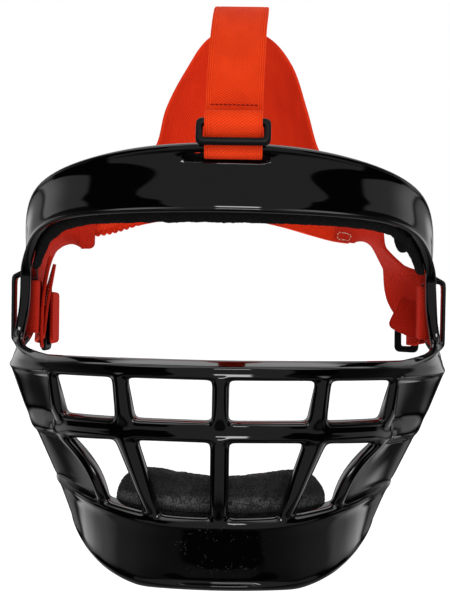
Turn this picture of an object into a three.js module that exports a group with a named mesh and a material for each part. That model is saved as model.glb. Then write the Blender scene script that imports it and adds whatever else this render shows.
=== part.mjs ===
// Fielder's face mask: a one-piece moulded frame with foam and terry pads and an elastic head harness.
// Millimetres, +Z up. The guard faces -Y and the wearer's left is at +X.
// The origin is the middle of the forehead pad's rear face, where the mask rests on the head.
import * as THREE from 'three';

// Driving dimensions
const strapWidth = 25;          // elastic of the top strap and the side straps
const strapThickness = 1.6;
const barDepth = 10;            // guard bars, front to back
const edgeStep = 2.2;           // bar edges stand this far behind the bar's crown
const recessStep = 4.6;         // cheek panels stand this far behind the bars
const lipStep = 3.4;            // the sill of the lower windows stands this far behind the chin band
const panelWall = 3.2;
const chinWall = 5.2;
const bandWall = 5;             // forehead band and rails
const bridgeGap = 5;            // room between a rail and the bridge over its strap slot
const bridgeWall = 1.6;
const bridgeTop = -43;
const bridgeBottom = -74;
const padRear = 14;             // rear face of the forehead pad, behind the front of the band

const radians = Math.PI / 180;
const clamp = (t) => Math.min(1, Math.max(0, t));
const mix = (a, b, t) => a + (b - a) * t;
const ease = (from, to, t) => { const s = clamp((t - from) / (to - from)); return s * s * (3 - 2 * s); };
const named = (columns, rows) => rows.map((row) => Object.fromEntries(columns.map((c, i) => [c, row[i]])));
const vec = (x, y, z) => new THREE.Vector3(x, y, z);

// A closed mesh gathered from quads and triangles; points that fall together are shared.
class Skin {
  constructor() { this.points = []; this.faces = []; this.known = new Map(); }

  at(p) {
    const key = [p.x, p.y, p.z].map((v) => Math.round(v * 1e4)).join(' ');
    if (!this.known.has(key)) {
      this.known.set(key, this.points.length / 3);
      this.points.push(p.x, p.y, p.z);
    }
    return this.known.get(key);
  }

  face(...corners) {
    const ids = corners.map((p) => this.at(p)).filter((id, i, all) => id !== all[(i + 1) % all.length]);
    for (let i = 1; i + 1 < ids.length; i++) this.faces.push(ids[0], ids[i], ids[i + 1]);
  }

  geometry() {
    const geometry = new THREE.BufferGeometry();
    geometry.setAttribute('position', new THREE.Float32BufferAttribute(this.points, 3));
    geometry.setIndex(this.faces);
    geometry.computeVertexNormals();
    return geometry;
  }
}

// Walls of a two-layer grid: front and back faces of every kept cell, and a side wall at every open edge.
function gridWalls(skin, rows, columns, front, back, kept, opened = () => false) {
  const cell = (j, k) => j >= 0 && k >= 0 && j < rows - 1 && k < columns - 1 && kept(j, k);
  for (let j = 0; j < rows - 1; j++) {
    for (let k = 0; k < columns - 1; k++) {
      if (!cell(j, k)) continue;
      const f = [front(j, k), front(j + 1, k), front(j + 1, k + 1), front(j, k + 1)];
      const b = [back(j, k), back(j + 1, k), back(j + 1, k + 1), back(j, k + 1)];
      if (!opened(j, k, 'front')) skin.face(f[0], f[1], f[2], f[3]);
      skin.face(b[3], b[2], b[1], b[0]);
      if (!cell(j, k - 1)) skin.face(f[0], b[0], b[1], f[1]);
      if (!cell(j, k + 1)) skin.face(f[3], f[2], b[2], b[3]);
      if (!cell(j - 1, k) && !opened(j, k, 'top')) skin.face(f[0], f[3], b[3], b[0]);
      if (!cell(j + 1, k) && !opened(j, k, 'bottom')) skin.face(f[1], b[1], b[2], f[2]);
    }
  }
}

// Guard rows, top to bottom. Each is half an ellipse in plan; its height changes between two angles. The back
// is lifted, and its walls lean this share of the way to the surface normal.
const guardRows = named(['name', 'kind', 'level', 'halfWidth', 'yFront', 'ySide', 'zMiddle', 'zSide', 'turnFrom',
  'turnTo', 'wall', 'lift', 'lean', 'relief'], [
  ['cheek_top', 'brim', 0.00, 103.6, -38.8, 67.0, -78.7, -80.6, 10, 80, 6.0, 3.2, 0.1, 0.5],
  ['cheek_crown', 'crown', 0.08, 104.0, -39.0, 66.4, -80.4, -82.2, 10, 80, barDepth, 1.0, 0.1, 0],
  ['cheek_low', 'crown', 0.16, 104.2, -39.0, 65.6, -82.8, -85.0, 10, 80, barDepth, 0, 0.1, 0],
  ['cheek_edge', 'edge', 0.20, 103.8, -39.0, 65.0, -84.2, -86.2, 10, 80, barDepth, 0, 0.1, 0],
  ['upper_a', 'pane', 0.45, 101.2, -39.3, 62.2, -90.3, -92.0, 10, 80, barDepth, 0.9, 0.2, 0],
  ['upper_b', 'pane', 0.75, 98.2, -39.7, 58.8, -97.5, -98.9, 10, 80, barDepth, 1.9, 0.4, 0],
  ['mid_ledge', 'ledge', 1.00, 95.6, -40.0, 56.0, -103.6, -104.6, 10, 80, 6.0, 2.9, 0.5, 0.5],
  ['mid_crown_a', 'crown', 1.25, 94.8, -40.0, 54.9, -105.2, -105.6, 10, 80, barDepth, 1.0, 0.4, 0],
  ['mid_crown_b', 'crown', 1.80, 91.0, -40.0, 51.0, -108.4, -112.4, 10, 80, barDepth, 0, 0.3, 0],
  ['mid_edge_low', 'edge', 2.00, 89.2, -39.8, 49.0, -110.4, -114.2, 10, 80, barDepth, 0, 0.3, 0],
  ['lower_a', 'pane', 2.28, 86.2, -39.2, 45.1, -119.3, -119.3, 10, 80, barDepth, 0.4, 0.3, 0],
  ['lower_b', 'pane', 2.55, 83.3, -38.6, 41.3, -127.9, -124.2, 10, 80, barDepth, 0.9, 0.3, 0],
  ['lower_c', 'pane', 2.80, 80.6, -38.0, 37.8, -135.8, -128.8, 10, 80, barDepth, 1.3, 0.3, 0],
  ['chin_edge', 'lip', 3.00, 78.4, -37.6, 35.0, -142.2, -132.4, 10, 80, barDepth, 1.6, 0.3, 0],
  ['chin_crown', 'crown', 3.14, 77.2, -37.1, 33.2, -146.4, -134.6, 10, 80, 8, 0, 0.3, 0],
  ['chin_a', 'crown', 3.40, 74.8, -34.4, 30.0, -155.6, -138.4, 18, 84, chinWall, 0, 0.3, 0.5],
  ['chin_b', 'crown', 3.70, 71.8, -30.8, 26.4, -164.4, -141.2, 24, 98, chinWall, 0, 0.3, 0.5],
  ['chin_rim', 'crown', 3.92, 69.2, -28.0, 22.6, -171.6, -142.4, 26, 104, chinWall, 0, 0.3, 0],
  ['chin_foot', 'brim', 4.00, 67.6, -26.6, 20.4, -174.4, -144.0, 26, 104, chinWall, 0.6, 0.3, 1.0],
]);

// Guard columns from the middle to one side: half breadth of each at the cheek bar, at the top and the
// bottom of the middle bar, at the chin band's upper edge and at its foot. A bow above 1 bends the column.
// The cheek panels sink by a share of the recess, which runs out towards the side.
const guardColumns = named(['name', 'kind', 'cheek', 'midTop', 'midLow', 'chin', 'foot', 'bow', 'sink'], [
  ['middle', 'crown', 0, 0, 0, 0, 0, 1, 0],
  ['middle_bar', 'crown', 1.8, 1.8, 1.9, 1.9, 1.9, 1, 0],
  ['middle_bar_edge', 'edge', 3.7, 3.7, 4.1, 4.1, 4.1, 1, 0],
  ['inner_pane_a', 'pane', 15, 14, 13.8, 10.8, 11.2, 1, 0],
  ['inner_pane_b', 'pane', 28, 26, 24.9, 18.4, 19.4, 1, 0],
  ['inner_pane_end', 'edge', 41.0, 38.0, 36.2, 26.0, 27.4, 1, 0],
  ['side_bar_a', 'crown', 43.0, 40.4, 38.9, 28.0, 29.6, 1, 0],
  ['side_bar_b', 'crown', 46.2, 43.8, 43.2, 30.8, 32.2, 1, 0],
  ['outer_pane_start', 'edge', 48.2, 46.2, 46.4, 32.9, 34.4, 1, 0],
  ['outer_pane_a', 'pane', 57, 54.7, 53.6, 38.7, 40.0, 1.4, 0],
  ['outer_pane_b', 'pane', 65.8, 63.2, 60.8, 44.4, 45.6, 1.7, 0],
  ['outer_pane_end', 'edge', 74.6, 71.6, 67.9, 50.2, 51.2, 2.1, 0],
  ['cheek_bar_a', 'crown', 75.8, 73.2, 69.9, 51.9, 52.6, 2.1, 0],
  ['cheek_bar_b', 'crown', 78.0, 75.8, 73.6, 54.4, 54.8, 2.1, 0],
  ['panel_a', 'panel', 79.2, 77.0, 74.8, 55.6, 56.2, 2.1, 1],
  ['panel_b', 'panel', 87.4, 83.4, 79.2, 61.2, 60.2, 1.5, 1],
  ['panel_c', 'panel', 94.4, 89.0, 83.2, 67, 63.4, 1.25, 0.9],
]);
const rimColumns = named(['name', 'kind', 'angle', 'sink'], [
  ['panel_d', 'panel', 73, 0.62], ['panel_e', 'panel', 80, 0.2], ['rim', 'rim', 90, 0],
]);
const halfColumns = [...guardColumns, ...rimColumns];
const sideColumns = halfColumns.length - 1;
const rowOf = (name) => guardRows.findIndex((row) => row.name === name);
const columnOf = (name) => halfColumns.findIndex((column) => column.name === name);

function columnAngle(row, column) {
  if (column.angle !== undefined) return column.angle * radians;
  const stops = [column.cheek, column.midTop, column.midLow, column.chin, column.foot];
  const i = Math.min(3, Math.floor(row.level));
  const t = row.level - i;
  const breadth = i === 2 ? mix(stops[3], stops[2], (1 - t) ** column.bow) : mix(stops[i], stops[i + 1], t);
  return Math.asin(Math.min(0.999, breadth / row.halfWidth));
}

// A point of the guard's outer surface at an angle in plan, moved inward by depth. The move follows the
// surface normal, or turns towards straight back by the given share, as the sides of moulded bars do.
function guardSurface(row, angle, depth, lift = 0, lean = 1) {
  const length = row.ySide - row.yFront;
  const facing = Math.atan2(Math.sin(angle) * length, Math.cos(angle) * row.halfWidth) * lean;
  const z = mix(row.zMiddle, row.zSide, ease(row.turnFrom * radians, row.turnTo * radians, Math.abs(angle)));
  return vec(row.halfWidth * Math.sin(angle) - Math.sin(facing) * depth,
    row.ySide - length * Math.cos(angle) + Math.cos(facing) * depth, z + lift);
}

function frontDepth(row, column) {
  if (row.kind === 'crown' || row.kind === 'brim') return row.relief;
  if (column.kind === 'crown') return row.kind === 'lip' ? 1 : 0;
  if (column.kind === 'panel' || column.kind === 'rim') return recessStep * column.sink;
  if (row.kind === 'lip') return lipStep;
  return row.kind === 'ledge' ? row.relief : edgeStep;
}

function backDepth(row, column) {
  if (column.kind === 'rim') return 4;
  const recessed = column.kind === 'panel' && row.kind !== 'crown' && row.kind !== 'brim';
  if (recessed) return recessStep * column.sink + panelWall;
  return column.angle ? Math.min(row.wall, 7) : row.wall;
}

const mirrored = (p, side) => (side < 0 ? vec(-p.x, p.y, p.z) : p);

function guardPoint(j, k, layer) {
  const row = guardRows[j];
  const column = halfColumns[Math.abs(k - sideColumns)];
  const angle = columnAngle(row, column);
  if (layer === 'front') return mirrored(guardSurface(row, angle, frontDepth(row, column)), k - sideColumns);
  const lift = row.lift * (1 - 0.7 * ease(60 * radians, 80 * radians, angle));
  return mirrored(guardSurface(row, angle, backDepth(row, column), lift, row.lean), k - sideColumns);
}

const paneRows = [['cheek_edge', 'mid_ledge'], ['mid_edge_low', 'chin_edge']];
const paneColumns = [['middle_bar_edge', 'inner_pane_end'], ['outer_pane_start', 'outer_pane_end']];
const within = (i, from, to) => i >= from && i < to;
function guardCell(j, k) {
  const half = k >= sideColumns ? k - sideColumns : sideColumns - 1 - k;
  return !(paneRows.some(([from, to]) => within(j, rowOf(from), rowOf(to)))
    && paneColumns.some(([from, to]) => within(half, columnOf(from), columnOf(to))));
}

// Hoop stations from the middle of the forehead to the foot of a rail: the edge of the face opening and
// the outer edge (crest of the band, then rear edge of the rail).
const hoopStations = named(['ox', 'oy', 'oz', 'cx', 'cy', 'cz'], [
  [0, -14, -13.6, 0, -14, 16.7],
  [10, -13.6, -13.6, 10, -13.6, 16.6],
  [19.5, -12.6, -13.8, 19.5, -12.6, 16.3],
  [35, -9.2, -14.1, 35.5, -8.8, 15.1],
  [51.4, -3.4, -14.8, 52.3, -1.8, 12.5],
  [69.8, 7.4, -16.2, 71, 10, 7.8],
  [82.3, 18.9, -19.5, 84, 23.5, 2],
  [89.9, 29.8, -25, 92, 38, -5],
  [94.3, 39.5, -32.5, 96.2, 53, -16],
  [96.9, 45, -39, 97.2, 66, -31],
  [97.2, 46.6, -42.2, 96.9, 71.2, -38.6],
  [97.4, 47, -45.6, 96.6, 73, -42.8],
  [97.6, 47, -58, 96.2, 75.5, -57],
  [99.8, 45, -70.6, 98, 74.2, -72.6],
  [99.8, 37, -75.8, 101.6, 72.4, -76.6],
]);
// Across the hoop, from the face opening to the crest: share of the breadth and the depth of the front.
const hoopProfile = named(['share', 'depth'], [
  [0, 1.2], [0.1, 0], [0.36, 0.9], [0.58, 0.9], [0.72, 0.9], [0.86, 0.6], [0.94, 0], [1, 1.2],
]);
const hoopCentre = { y: 56, halfWidth: 97, length: 70 };
const footStation = hoopStations.length;
const footColumns = ['panel_a', 'panel_b', 'panel_c', 'panel_d', 'panel_e', 'rim'].map(columnOf);
const footTail = named(['x', 'y', 'z'], [[103.4, 68.6, -79.2], [102.4, 70.6, -78.6]]);

function hoopNormal(p) {
  const along = (p.y - hoopCentre.y) / hoopCentre.length ** 2;
  return new THREE.Vector2(p.x / hoopCentre.halfWidth ** 2, along).normalize();
}

// A point across the hoop at a fractional station, moved inward by depth.
function hoopSurface(station, share, depth) {
  const i = Math.min(hoopStations.length - 2, Math.floor(station));
  const t = station - i;
  const [a, b] = [hoopStations[i], hoopStations[i + 1]];
  const along = (name) => mix(a[name], b[name], t);
  const p = vec(mix(along('ox'), along('cx'), share), mix(along('oy'), along('cy'), share),
    mix(along('oz'), along('cz'), share));
  const normal = hoopNormal(p);
  return vec(p.x - normal.x * depth, p.y - normal.y * depth, p.z);
}

function hoopPoint(s, c, layer) {
  const half = Math.abs(s - footStation);
  const side = s - footStation;
  if (half < footStation) {
    const depth = layer === 'front' ? hoopProfile[c].depth : bandWall + (c === 0 || c === 7 ? -0.8 : 0);
    return mirrored(hoopSurface(half, hoopProfile[c].share, depth), side);
  }
  if (c < footColumns.length) return guardPoint(0, sideColumns + Math.sign(side) * footColumns[c], layer);
  const p = footTail[c - footColumns.length];
  return mirrored(vec(p.x - (layer === 'front' ? 1 : 5), p.y - (layer === 'front' ? 0 : 0.6), p.z), side);
}

const crestSlot = { stations: 2, from: 4, to: 5 };      // top strap slot, cells across the middle
const railSlot = { first: 11, last: 13, from: 2, to: 3 }; // side strap slot in each rail

const halfCell = (s) => (s >= footStation ? s - footStation : footStation - 1 - s);
function hoopCell(s, c) {
  const half = halfCell(s);
  const inCrest = half < crestSlot.stations && within(c, crestSlot.from, crestSlot.to);
  const inRail = within(half, railSlot.first, railSlot.last) && within(c, railSlot.from, railSlot.to);
  return !inCrest && !inRail;
}

// The bridge over a rail slot leaves the rail above the slot and returns below it.
const bridgeRoots = [railSlot.first - 1, railSlot.last];
function bridge(skin, side) {
  const [upper, lower] = bridgeRoots;
  const onRail = (station, c) => hoopPoint(footStation + side * station, c, 'front');
  const outside = (c, reach, z) => {
    const p = hoopSurface(railSlot.first + 1, hoopProfile[c].share, hoopProfile[c].depth - reach);
    return mirrored(vec(p.x, p.y, z), side);
  };
  const ring = (outer, inner) => [outer(railSlot.from), outer(railSlot.to), inner(railSlot.to), inner(railSlot.from)];
  const rings = [
    ring((c) => onRail(upper, c), (c) => onRail(upper + 1, c)),
    ring((c) => outside(c, bridgeGap + bridgeWall, bridgeTop), (c) => outside(c, bridgeGap, bridgeTop - bridgeWall)),
    ring((c) => outside(c, bridgeGap + bridgeWall, bridgeBottom),
      (c) => outside(c, bridgeGap, bridgeBottom + bridgeWall)),
    ring((c) => onRail(lower + 1, c), (c) => onRail(lower, c)),
  ];
  for (let r = 0; r + 1 < rings.length; r++) {
    for (let i = 0; i < 4; i++) {
      const [a, b] = [rings[r], rings[r + 1]];
      const quad = [a[i], b[i], b[(i + 1) % 4], a[(i + 1) % 4]];
      skin.face(...(side > 0 ? quad : quad.reverse()));
    }
  }
}

function makeFrame() {
  const skin = new Skin();
  const isFoot = (j, k, face) => {
    const half = k >= sideColumns ? k - sideColumns : sideColumns - 1 - k;
    return face === 'top' && j === 0 && half >= footColumns[0];
  };
  gridWalls(skin, guardRows.length, 2 * sideColumns + 1, (j, k) => guardPoint(j, k, 'front'),
    (j, k) => guardPoint(j, k, 'back'), guardCell, isFoot);
  const isJoined = (s, c, face) => {
    if (face === 'front') return bridgeRoots.includes(halfCell(s)) && c === railSlot.from;
    return halfCell(s) === footStation - 1 && c < footColumns.length - 1;
  };
  gridWalls(skin, 2 * footStation + 1, hoopProfile.length, (s, c) => hoopPoint(s, c, 'front'),
    (s, c) => hoopPoint(s, c, 'back'), hoopCell, isJoined);
  bridge(skin, 1);
  bridge(skin, -1);
  return skin.geometry();
}

// A solid lofted through closed loops of points, capped at both ends.
function loft(loops) {
  const skin = new Skin();
  const count = loops[0].length;
  for (let s = 0; s + 1 < loops.length; s++) {
    for (let i = 0; i < count; i++) {
      const n = (i + 1) % count;
      skin.face(loops[s][i], loops[s][n], loops[s + 1][n], loops[s + 1][i]);
    }
  }
  const cap = (loop, flip) => {
    const middle = loop.reduce((sum, p) => sum.add(p), vec(0, 0, 0)).divideScalar(count);
    for (let i = 0; i < count; i++) {
      const [a, b] = [loop[i], loop[(i + 1) % count]];
      skin.face(middle, flip ? b : a, flip ? a : b);
    }
  };
  cap(loops[0], true);
  cap(loops[loops.length - 1], false);
  return skin.geometry();
}

// Forehead pad: section in share of the band's breadth and depth behind its front, front face first.
const foreheadSection = named(['share', 'depth'], [
  [0.62, 5.6], [0.3, 5.6], [0.02, 5.6], [-0.1, 6.6], [-0.15, 9], [-0.12, 12], [-0.03, padRear - 0.4],
  [0.15, padRear], [0.45, padRear], [0.62, 13], [0.72, 10.5], [0.72, 7],
]);
const foreheadReach = 9.4;      // the pad ends at this station on each rail
const padRise = 0.17;           // the pad's top stands this much higher beside the notch for the strap
const strapNotch = { from: -15.5, in: -11.8, out: 17.8, to: 21.5 };
function makeForeheadPad() {
  const loops = [];
  const steps = 44;
  for (let i = 0; i <= steps; i++) {
    const s = mix(-foreheadReach, foreheadReach, i / steps);
    const thin = mix(1, 0.5, ease(5, 8.5, Math.abs(s)));
    const end = mix(1, 0.72, ease(foreheadReach - 0.5, foreheadReach, Math.abs(s)));
    const x = Math.sign(s) * hoopSurface(Math.abs(s), 0.8, 0).x;
    const notch = ease(strapNotch.from, strapNotch.in, x) * (1 - ease(strapNotch.out, strapNotch.to, x));
    const rise = padRise * (1 - notch) * (1 - ease(4, 6, Math.abs(s)));
    loops.push(foreheadSection.map(({ share, depth }) => mirrored(hoopSurface(Math.abs(s),
      mix(0.25, share + rise * ease(0.5, 0.7, share), end), 5.6 + (depth - 5.6) * thin * end), s)));
  }
  return loft(loops);
}

// Chin pad: section in height above the pad's own middle and depth behind the chin band's front.
const chinSection = named(['rise', 'depth'], [
  [15.5, 13.8], [12, 10.7], [2, 10.4], [-6, 10.4], [-13, 9.9], [-16.5, 11.8], [-16.5, 18], [-13, 22],
  [-4, 24], [6, 24.4], [12, 22.6], [15.5, 19],
]);
const chinPadMiddle = -139;
const chinPadAngle = 43.6;
function makeChinPad() {
  const row = { ...guardRows[rowOf('chin_edge')], zMiddle: 0, zSide: 0 };
  const loops = [];
  const steps = 22;
  for (let i = 0; i <= steps; i++) {
    const u = mix(-1, 1, i / steps);
    const end = Math.sqrt(Math.max(0.18, 1 - Math.abs(u) ** 9));
    const dip = -2.6 * (1 - ease(0, 0.75, Math.abs(u)));
    loops.push(chinSection.map(({ rise, depth }) => guardSurface(row, u * chinPadAngle * radians,
      17.4 + (depth - 17.4) * mix(0.6, 1, end), chinPadMiddle + rise * end + (rise > 0 ? dip : 0))));
  }
  return loft(loops);
}

// A strap: stations give its middle line and the direction of its breadth; sampled along smooth curves.
function makeStrap(stations, samples) {
  const middle = new THREE.CatmullRomCurve3(stations.map((s) => vec(s.x, s.y, s.z)));
  const across = new THREE.CatmullRomCurve3(stations.map((s) => vec(s.ax ?? 1, s.ay ?? 0, s.az ?? 0)));
  const loops = [];
  for (let i = 0; i <= samples; i++) {
    const t = i / samples;
    const p = middle.getPoint(t);
    const along = middle.getTangent(t);
    const normal = along.clone().cross(across.getPoint(t)).normalize();
    const breadth = normal.clone().cross(along).normalize().multiplyScalar(strapWidth / 2);
    const half = normal.multiplyScalar(strapThickness / 2);
    const corner = (a, b) => p.clone().addScaledVector(breadth, a).addScaledVector(half, b);
    loops.push([corner(-1, -1), corner(1, -1), corner(1, 1), corner(-1, 1)]);
  }
  return loft(loops);
}

// Top strap, from its sewn end behind the slide, over the slide, through the crest slot and over the crown.
const topStations = named(['x', 'y', 'z'], [
  [3.2, -11.6, 19.4], [3.2, -11.4, 23.4], [3.2, -11.8, 26.6], [3.2, -13.4, 28.9], [3.2, -15.8, 29.5],
  [3.2, -17.9, 27.8], [3.2, -18.5, 24.8], [3.2, -17.3, 21.4], [3.2, -16.2, 18], [3.2, -16.1, 14.4],
  [3.2, -15.4, 11.6], [3.2, -13.2, 10.3], [3.2, -10, 10.2], [3.2, -7.1, 10.8], [3.2, -5.8, 13.2], [3.2, -5.9, 17],
  [3.2, -6.6, 24], [3.2, -5.8, 32], [3.4, -2, 44], [3.8, 6, 57], [4.2, 18, 69.6], [4.6, 33, 78.6],
  [4.8, 50, 82.6], [4.6, 66, 82.4], [4.2, 80, 80.8], [3.8, 89.4, 78.6], [3.4, 94.6, 72.2], [3.4, 99, 63.8],
  [3.4, 102.5, 56.5], [3.4, 105.5, 49.4],
]);

// Rear panel: lower and upper edge from the wearer's right to left, with the bulge between them.
const panelStations = named(['lx', 'ly', 'lz', 'ux', 'uy', 'uz', 'bulge', 'gather'], [
  [-70, 86.6, -24.4, -70, 86.2, -9, 0, 1],
  [-59, 91.4, -22.4, -58, 88.4, -2, 1, 1],
  [-48, 95.4, -19, -46, 88.6, 7, 3.5, 0.7],
  [-33, 100, -15.8, -36.4, 88.2, 20.8, 8, 0.15],
  [-19, 102.8, -14.2, -32, 88, 38.2, 11, 0],
  [-8, 104, -13.6, -22.8, 88, 56.8, 12, 0],
  [-2, 104.2, -13.8, -11, 88.2, 73.4, 12, 0],
  [3, 104.2, -14.2, 3.4, 88.5, 77, 12, 0],
  [8, 104.2, -14.8, 16.9, 88.2, 73.4, 12, 0],
  [15, 103.8, -16, 28, 88, 60.6, 12, 0],
  [26, 102.4, -18.4, 35.8, 88, 39, 11, 0],
  [39, 99, -22, 41.8, 88.2, 19.6, 8, 0.15],
  [49, 95.4, -24.6, 49.4, 88.4, 8, 3.5, 0.7],
  [54, 93.6, -25.4, 54.6, 88.6, 1.6, 1.6, 1],
  [58, 92.4, -25.8, 59.4, 89.2, -4.4, 0, 1],
]);
const panelThickness = 1.6;
const gatherDepth = 0.9;
const gatherFolds = 3;

function panelPoint(u, v, offset) {
  const line = (names) => new THREE.CatmullRomCurve3(panelStations.map((s) => vec(...names.map((n) => s[n]))));
  const at = (names) => line(names).getPoint(u);
  const low = at(['lx', 'ly', 'lz']);
  const high = at(['ux', 'uy', 'uz']);
  const form = at(['bulge', 'gather', 'gather']);
  const fold = clamp(form.y) * gatherDepth * Math.sin(2 * Math.PI * gatherFolds * v);
  const p = low.lerp(high, v);
  return vec(p.x, p.y + form.x * 4 * v * (1 - v) + fold + offset, p.z);
}

function makeRearPanel() {
  const skin = new Skin();
  const [rows, columns] = [17, 29];
  const table = (offset) => Array.from({ length: rows }, (_, j) => Array.from({ length: columns },
    (_, k) => panelPoint(k / (columns - 1), 1 - j / (rows - 1), offset)));
  const [front, back] = [table(-panelThickness / 2), table(panelThickness / 2)];
  gridWalls(skin, rows, columns, (j, k) => front[j][k], (j, k) => back[j][k], () => true);
  return skin.geometry();
}

// Slides: a rectangular loop lying in a plane, its long sides carrying the strap's fold.
const slide = { length: 32.4, breadth: 13.2, thickness: 2.6, longBar: 3.6, shortBar: 3.2, corner: 2.4 };
function roundedOutline(path, halfLength, halfBreadth, radius) {
  path.moveTo(halfLength - radius, -halfBreadth);
  path.absarc(halfLength - radius, -halfBreadth + radius, radius, -Math.PI / 2, 0, false);
  path.absarc(halfLength - radius, halfBreadth - radius, radius, 0, Math.PI / 2, false);
  path.absarc(-halfLength + radius, halfBreadth - radius, radius, Math.PI / 2, Math.PI, false);
  path.absarc(-halfLength + radius, -halfBreadth + radius, radius, Math.PI, 1.5 * Math.PI, false);
  path.closePath();
  return path;
}

function makeSlide({ x, y, z, long, short }) {
  const outline = roundedOutline(new THREE.Shape(), slide.length / 2, slide.breadth / 2, slide.corner);
  outline.holes.push(roundedOutline(new THREE.Path(), slide.length / 2 - slide.shortBar,
    slide.breadth / 2 - slide.longBar, 0.8));
  const settings = { depth: slide.thickness, bevelEnabled: false, curveSegments: 4 };
  const geometry = new THREE.ExtrudeGeometry(outline, settings);
  geometry.translate(0, 0, -slide.thickness / 2);
  const [ex, ey] = [vec(...long).normalize(), vec(...short).normalize()];
  geometry.applyMatrix4(new THREE.Matrix4().makeBasis(ex, ey, ex.clone().cross(ey)).setPosition(x, y, z));
  return geometry;
}

const topSlide = { x: 3.2, y: -17.25, z: 21, long: [1, 0, 0], short: [0, 0.432, 0.902] };
const sideSlides = {
  left: { x: 87.4, y: 92, z: -63, long: [0, 0, 1], short: [-0.85, 0.53, 0] },
  right: { x: -90.4, y: 91, z: -63, long: [0, 0, 1], short: [0.13, 0.99, 0] },
};

// Side straps, from the sewn end on the rear panel to the rail's rear post and back to the slide. The left one
// goes out through the slot and folds round one bar; the right one goes in through it and round both bars.
const acrossColumns = ['x', 'y', 'z', 'ax', 'ay', 'az'];
const sideStations = {
  left: named(acrossColumns, [
    [52, 87.2, -13, 0, -0.2, 1], [59, 84.6, -14.2, 0, -0.25, 0.97], [66.4, 82.4, -19.6, 0, -0.6, 0.75],
    [73.2, 83.6, -28.8, 0.05, -0.95, 0.15], [79.6, 85.4, -37, 0.2, -0.95, 0.2], [85, 86.4, -45.6, 0.7, -0.6, 0.4],
    [88, 84.8, -53.6, 0.42, -0.3, 0.86], [89.7, 79.6, -57.8, 0, 0.05, 1], [90.1, 71.6, -58.4, 0, 0, 1],
    [90.3, 66.5, -58.4, 0, 0, 1], [90.4, 62.2, -58.4, 0, 0, 1], [91.6, 59.7, -58.4, 0, 0, 1],
    [94.2, 59.1, -58.4, 0, 0, 1], [97.8, 60.5, -58.4, -0.06, 0, 1], [98.8, 64.5, -58.4, -0.06, 0, 1],
    [98.75, 70.4, -58.5, -0.06, 0, 1], [98.6, 77, -58.8, -0.05, 0, 1], [97.8, 82.4, -59.6, 0, 0, 1],
    [96.6, 88.2, -61, 0, 0, 1], [94.2, 92, -62.2, 0, 0, 1], [91.4, 93, -63, 0, 0, 1], [89, 92.1, -63, 0, 0, 1],
    [87.7, 90.1, -63, 0, 0, 1], [88.7, 87.7, -63, 0, 0, 1], [91.2, 86.1, -63, 0, 0, 1], [93, 85.2, -63, 0, 0, 1],
  ]),
  right: named(acrossColumns, [
    [-66, 84, -17.4, 0, -0.2, 1], [-71, 82.8, -17.6, 0, -0.1, 1], [-77.8, 83, -19, -0.15, -0.35, 0.9],
    [-85.4, 85, -24.5, -0.3, -0.8, 0.5], [-91, 88, -32.5, -0.15, -0.95, 0.3], [-94.4, 92.2, -42, 0, -0.85, 0.5],
    [-96.6, 92.6, -50, 0, -0.6, 0.8], [-98, 88.4, -56, 0, -0.25, 1], [-98.9, 81, -58.4, 0.04, 0, 1],
    [-98.75, 74, -58.6, 0.06, 0, 1], [-98.8, 64.5, -58.4, 0.06, 0, 1], [-97.8, 60.5, -58.4, 0.06, 0, 1],
    [-94.2, 59.1, -58.4, 0, 0, 1], [-91.6, 59.7, -58.4, 0, 0, 1], [-90.4, 62.2, -58.4, 0, 0, 1],
    [-90.3, 66.5, -58.4, 0, 0, 1], [-90.2, 72, -58.8, 0, 0, 1], [-90.3, 77, -59.8, 0, 0, 1],
    [-91.9, 80.4, -61, 0, 0, 1], [-93.8, 84.4, -62, 0, 0, 1], [-93.7, 88.6, -63, 0, 0, 1],
    [-92.4, 97.4, -63, 0, 0, 1], [-91.5, 99.4, -63, 0, 0, 1], [-89.5, 100.6, -63, 0, 0, 1],
    [-87.4, 99.6, -63, 0, 0, 1], [-86.4, 97.2, -63, 0, 0, 1], [-84.8, 88, -63, 0, 0, 1],
    [-83.4, 80.5, -63, 0, 0, 1],
  ]),
};

const looks = {
  moulded: { color: 0x0b0b0c, roughness: 0.18, metalness: 0 },
  foam: { color: 0x1b1b1c, roughness: 0.9, metalness: 0 },
  terry: { color: 0x1d1d1e, roughness: 1, metalness: 0 },
  elastic: { color: 0xd03a1c, roughness: 0.85, metalness: 0 },
  slide: { color: 0x141415, roughness: 0.4, metalness: 0 },
};

const mask = new THREE.Group();
mask.name = 'face_mask';
const pieces = [
  ['frame', makeFrame(), 'moulded'],
  ['forehead_pad', makeForeheadPad(), 'foam'],
  ['chin_pad', makeChinPad(), 'terry'],
  ['top_strap', makeStrap(topStations, 110), 'elastic'],
  ['top_slide', makeSlide(topSlide), 'slide'],
  ['rear_panel', makeRearPanel(), 'elastic'],
  ['side_strap_left', makeStrap(sideStations.left, 90), 'elastic'],
  ['side_strap_right', makeStrap(sideStations.right, 90), 'elastic'],
  ['side_slide_left', makeSlide(sideSlides.left), 'slide'],
  ['side_slide_right', makeSlide(sideSlides.right), 'slide'],
];
for (const [name, geometry, look] of pieces) {
  const mesh = new THREE.Mesh(geometry, new THREE.MeshStandardMaterial(looks[look]));
  mesh.name = name;
  mask.add(mesh);
}

export default mask;
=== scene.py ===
"""Looks of the softball face mask: a glossy moulded frame, foam and terry pads and a woven elastic harness.

Shapes are worked out in millimetres, in the frame of the solids, and scaled to metres as each mesh is made.
"""
import math

import bpy
import numpy as np
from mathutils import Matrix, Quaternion, Vector, noise


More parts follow.
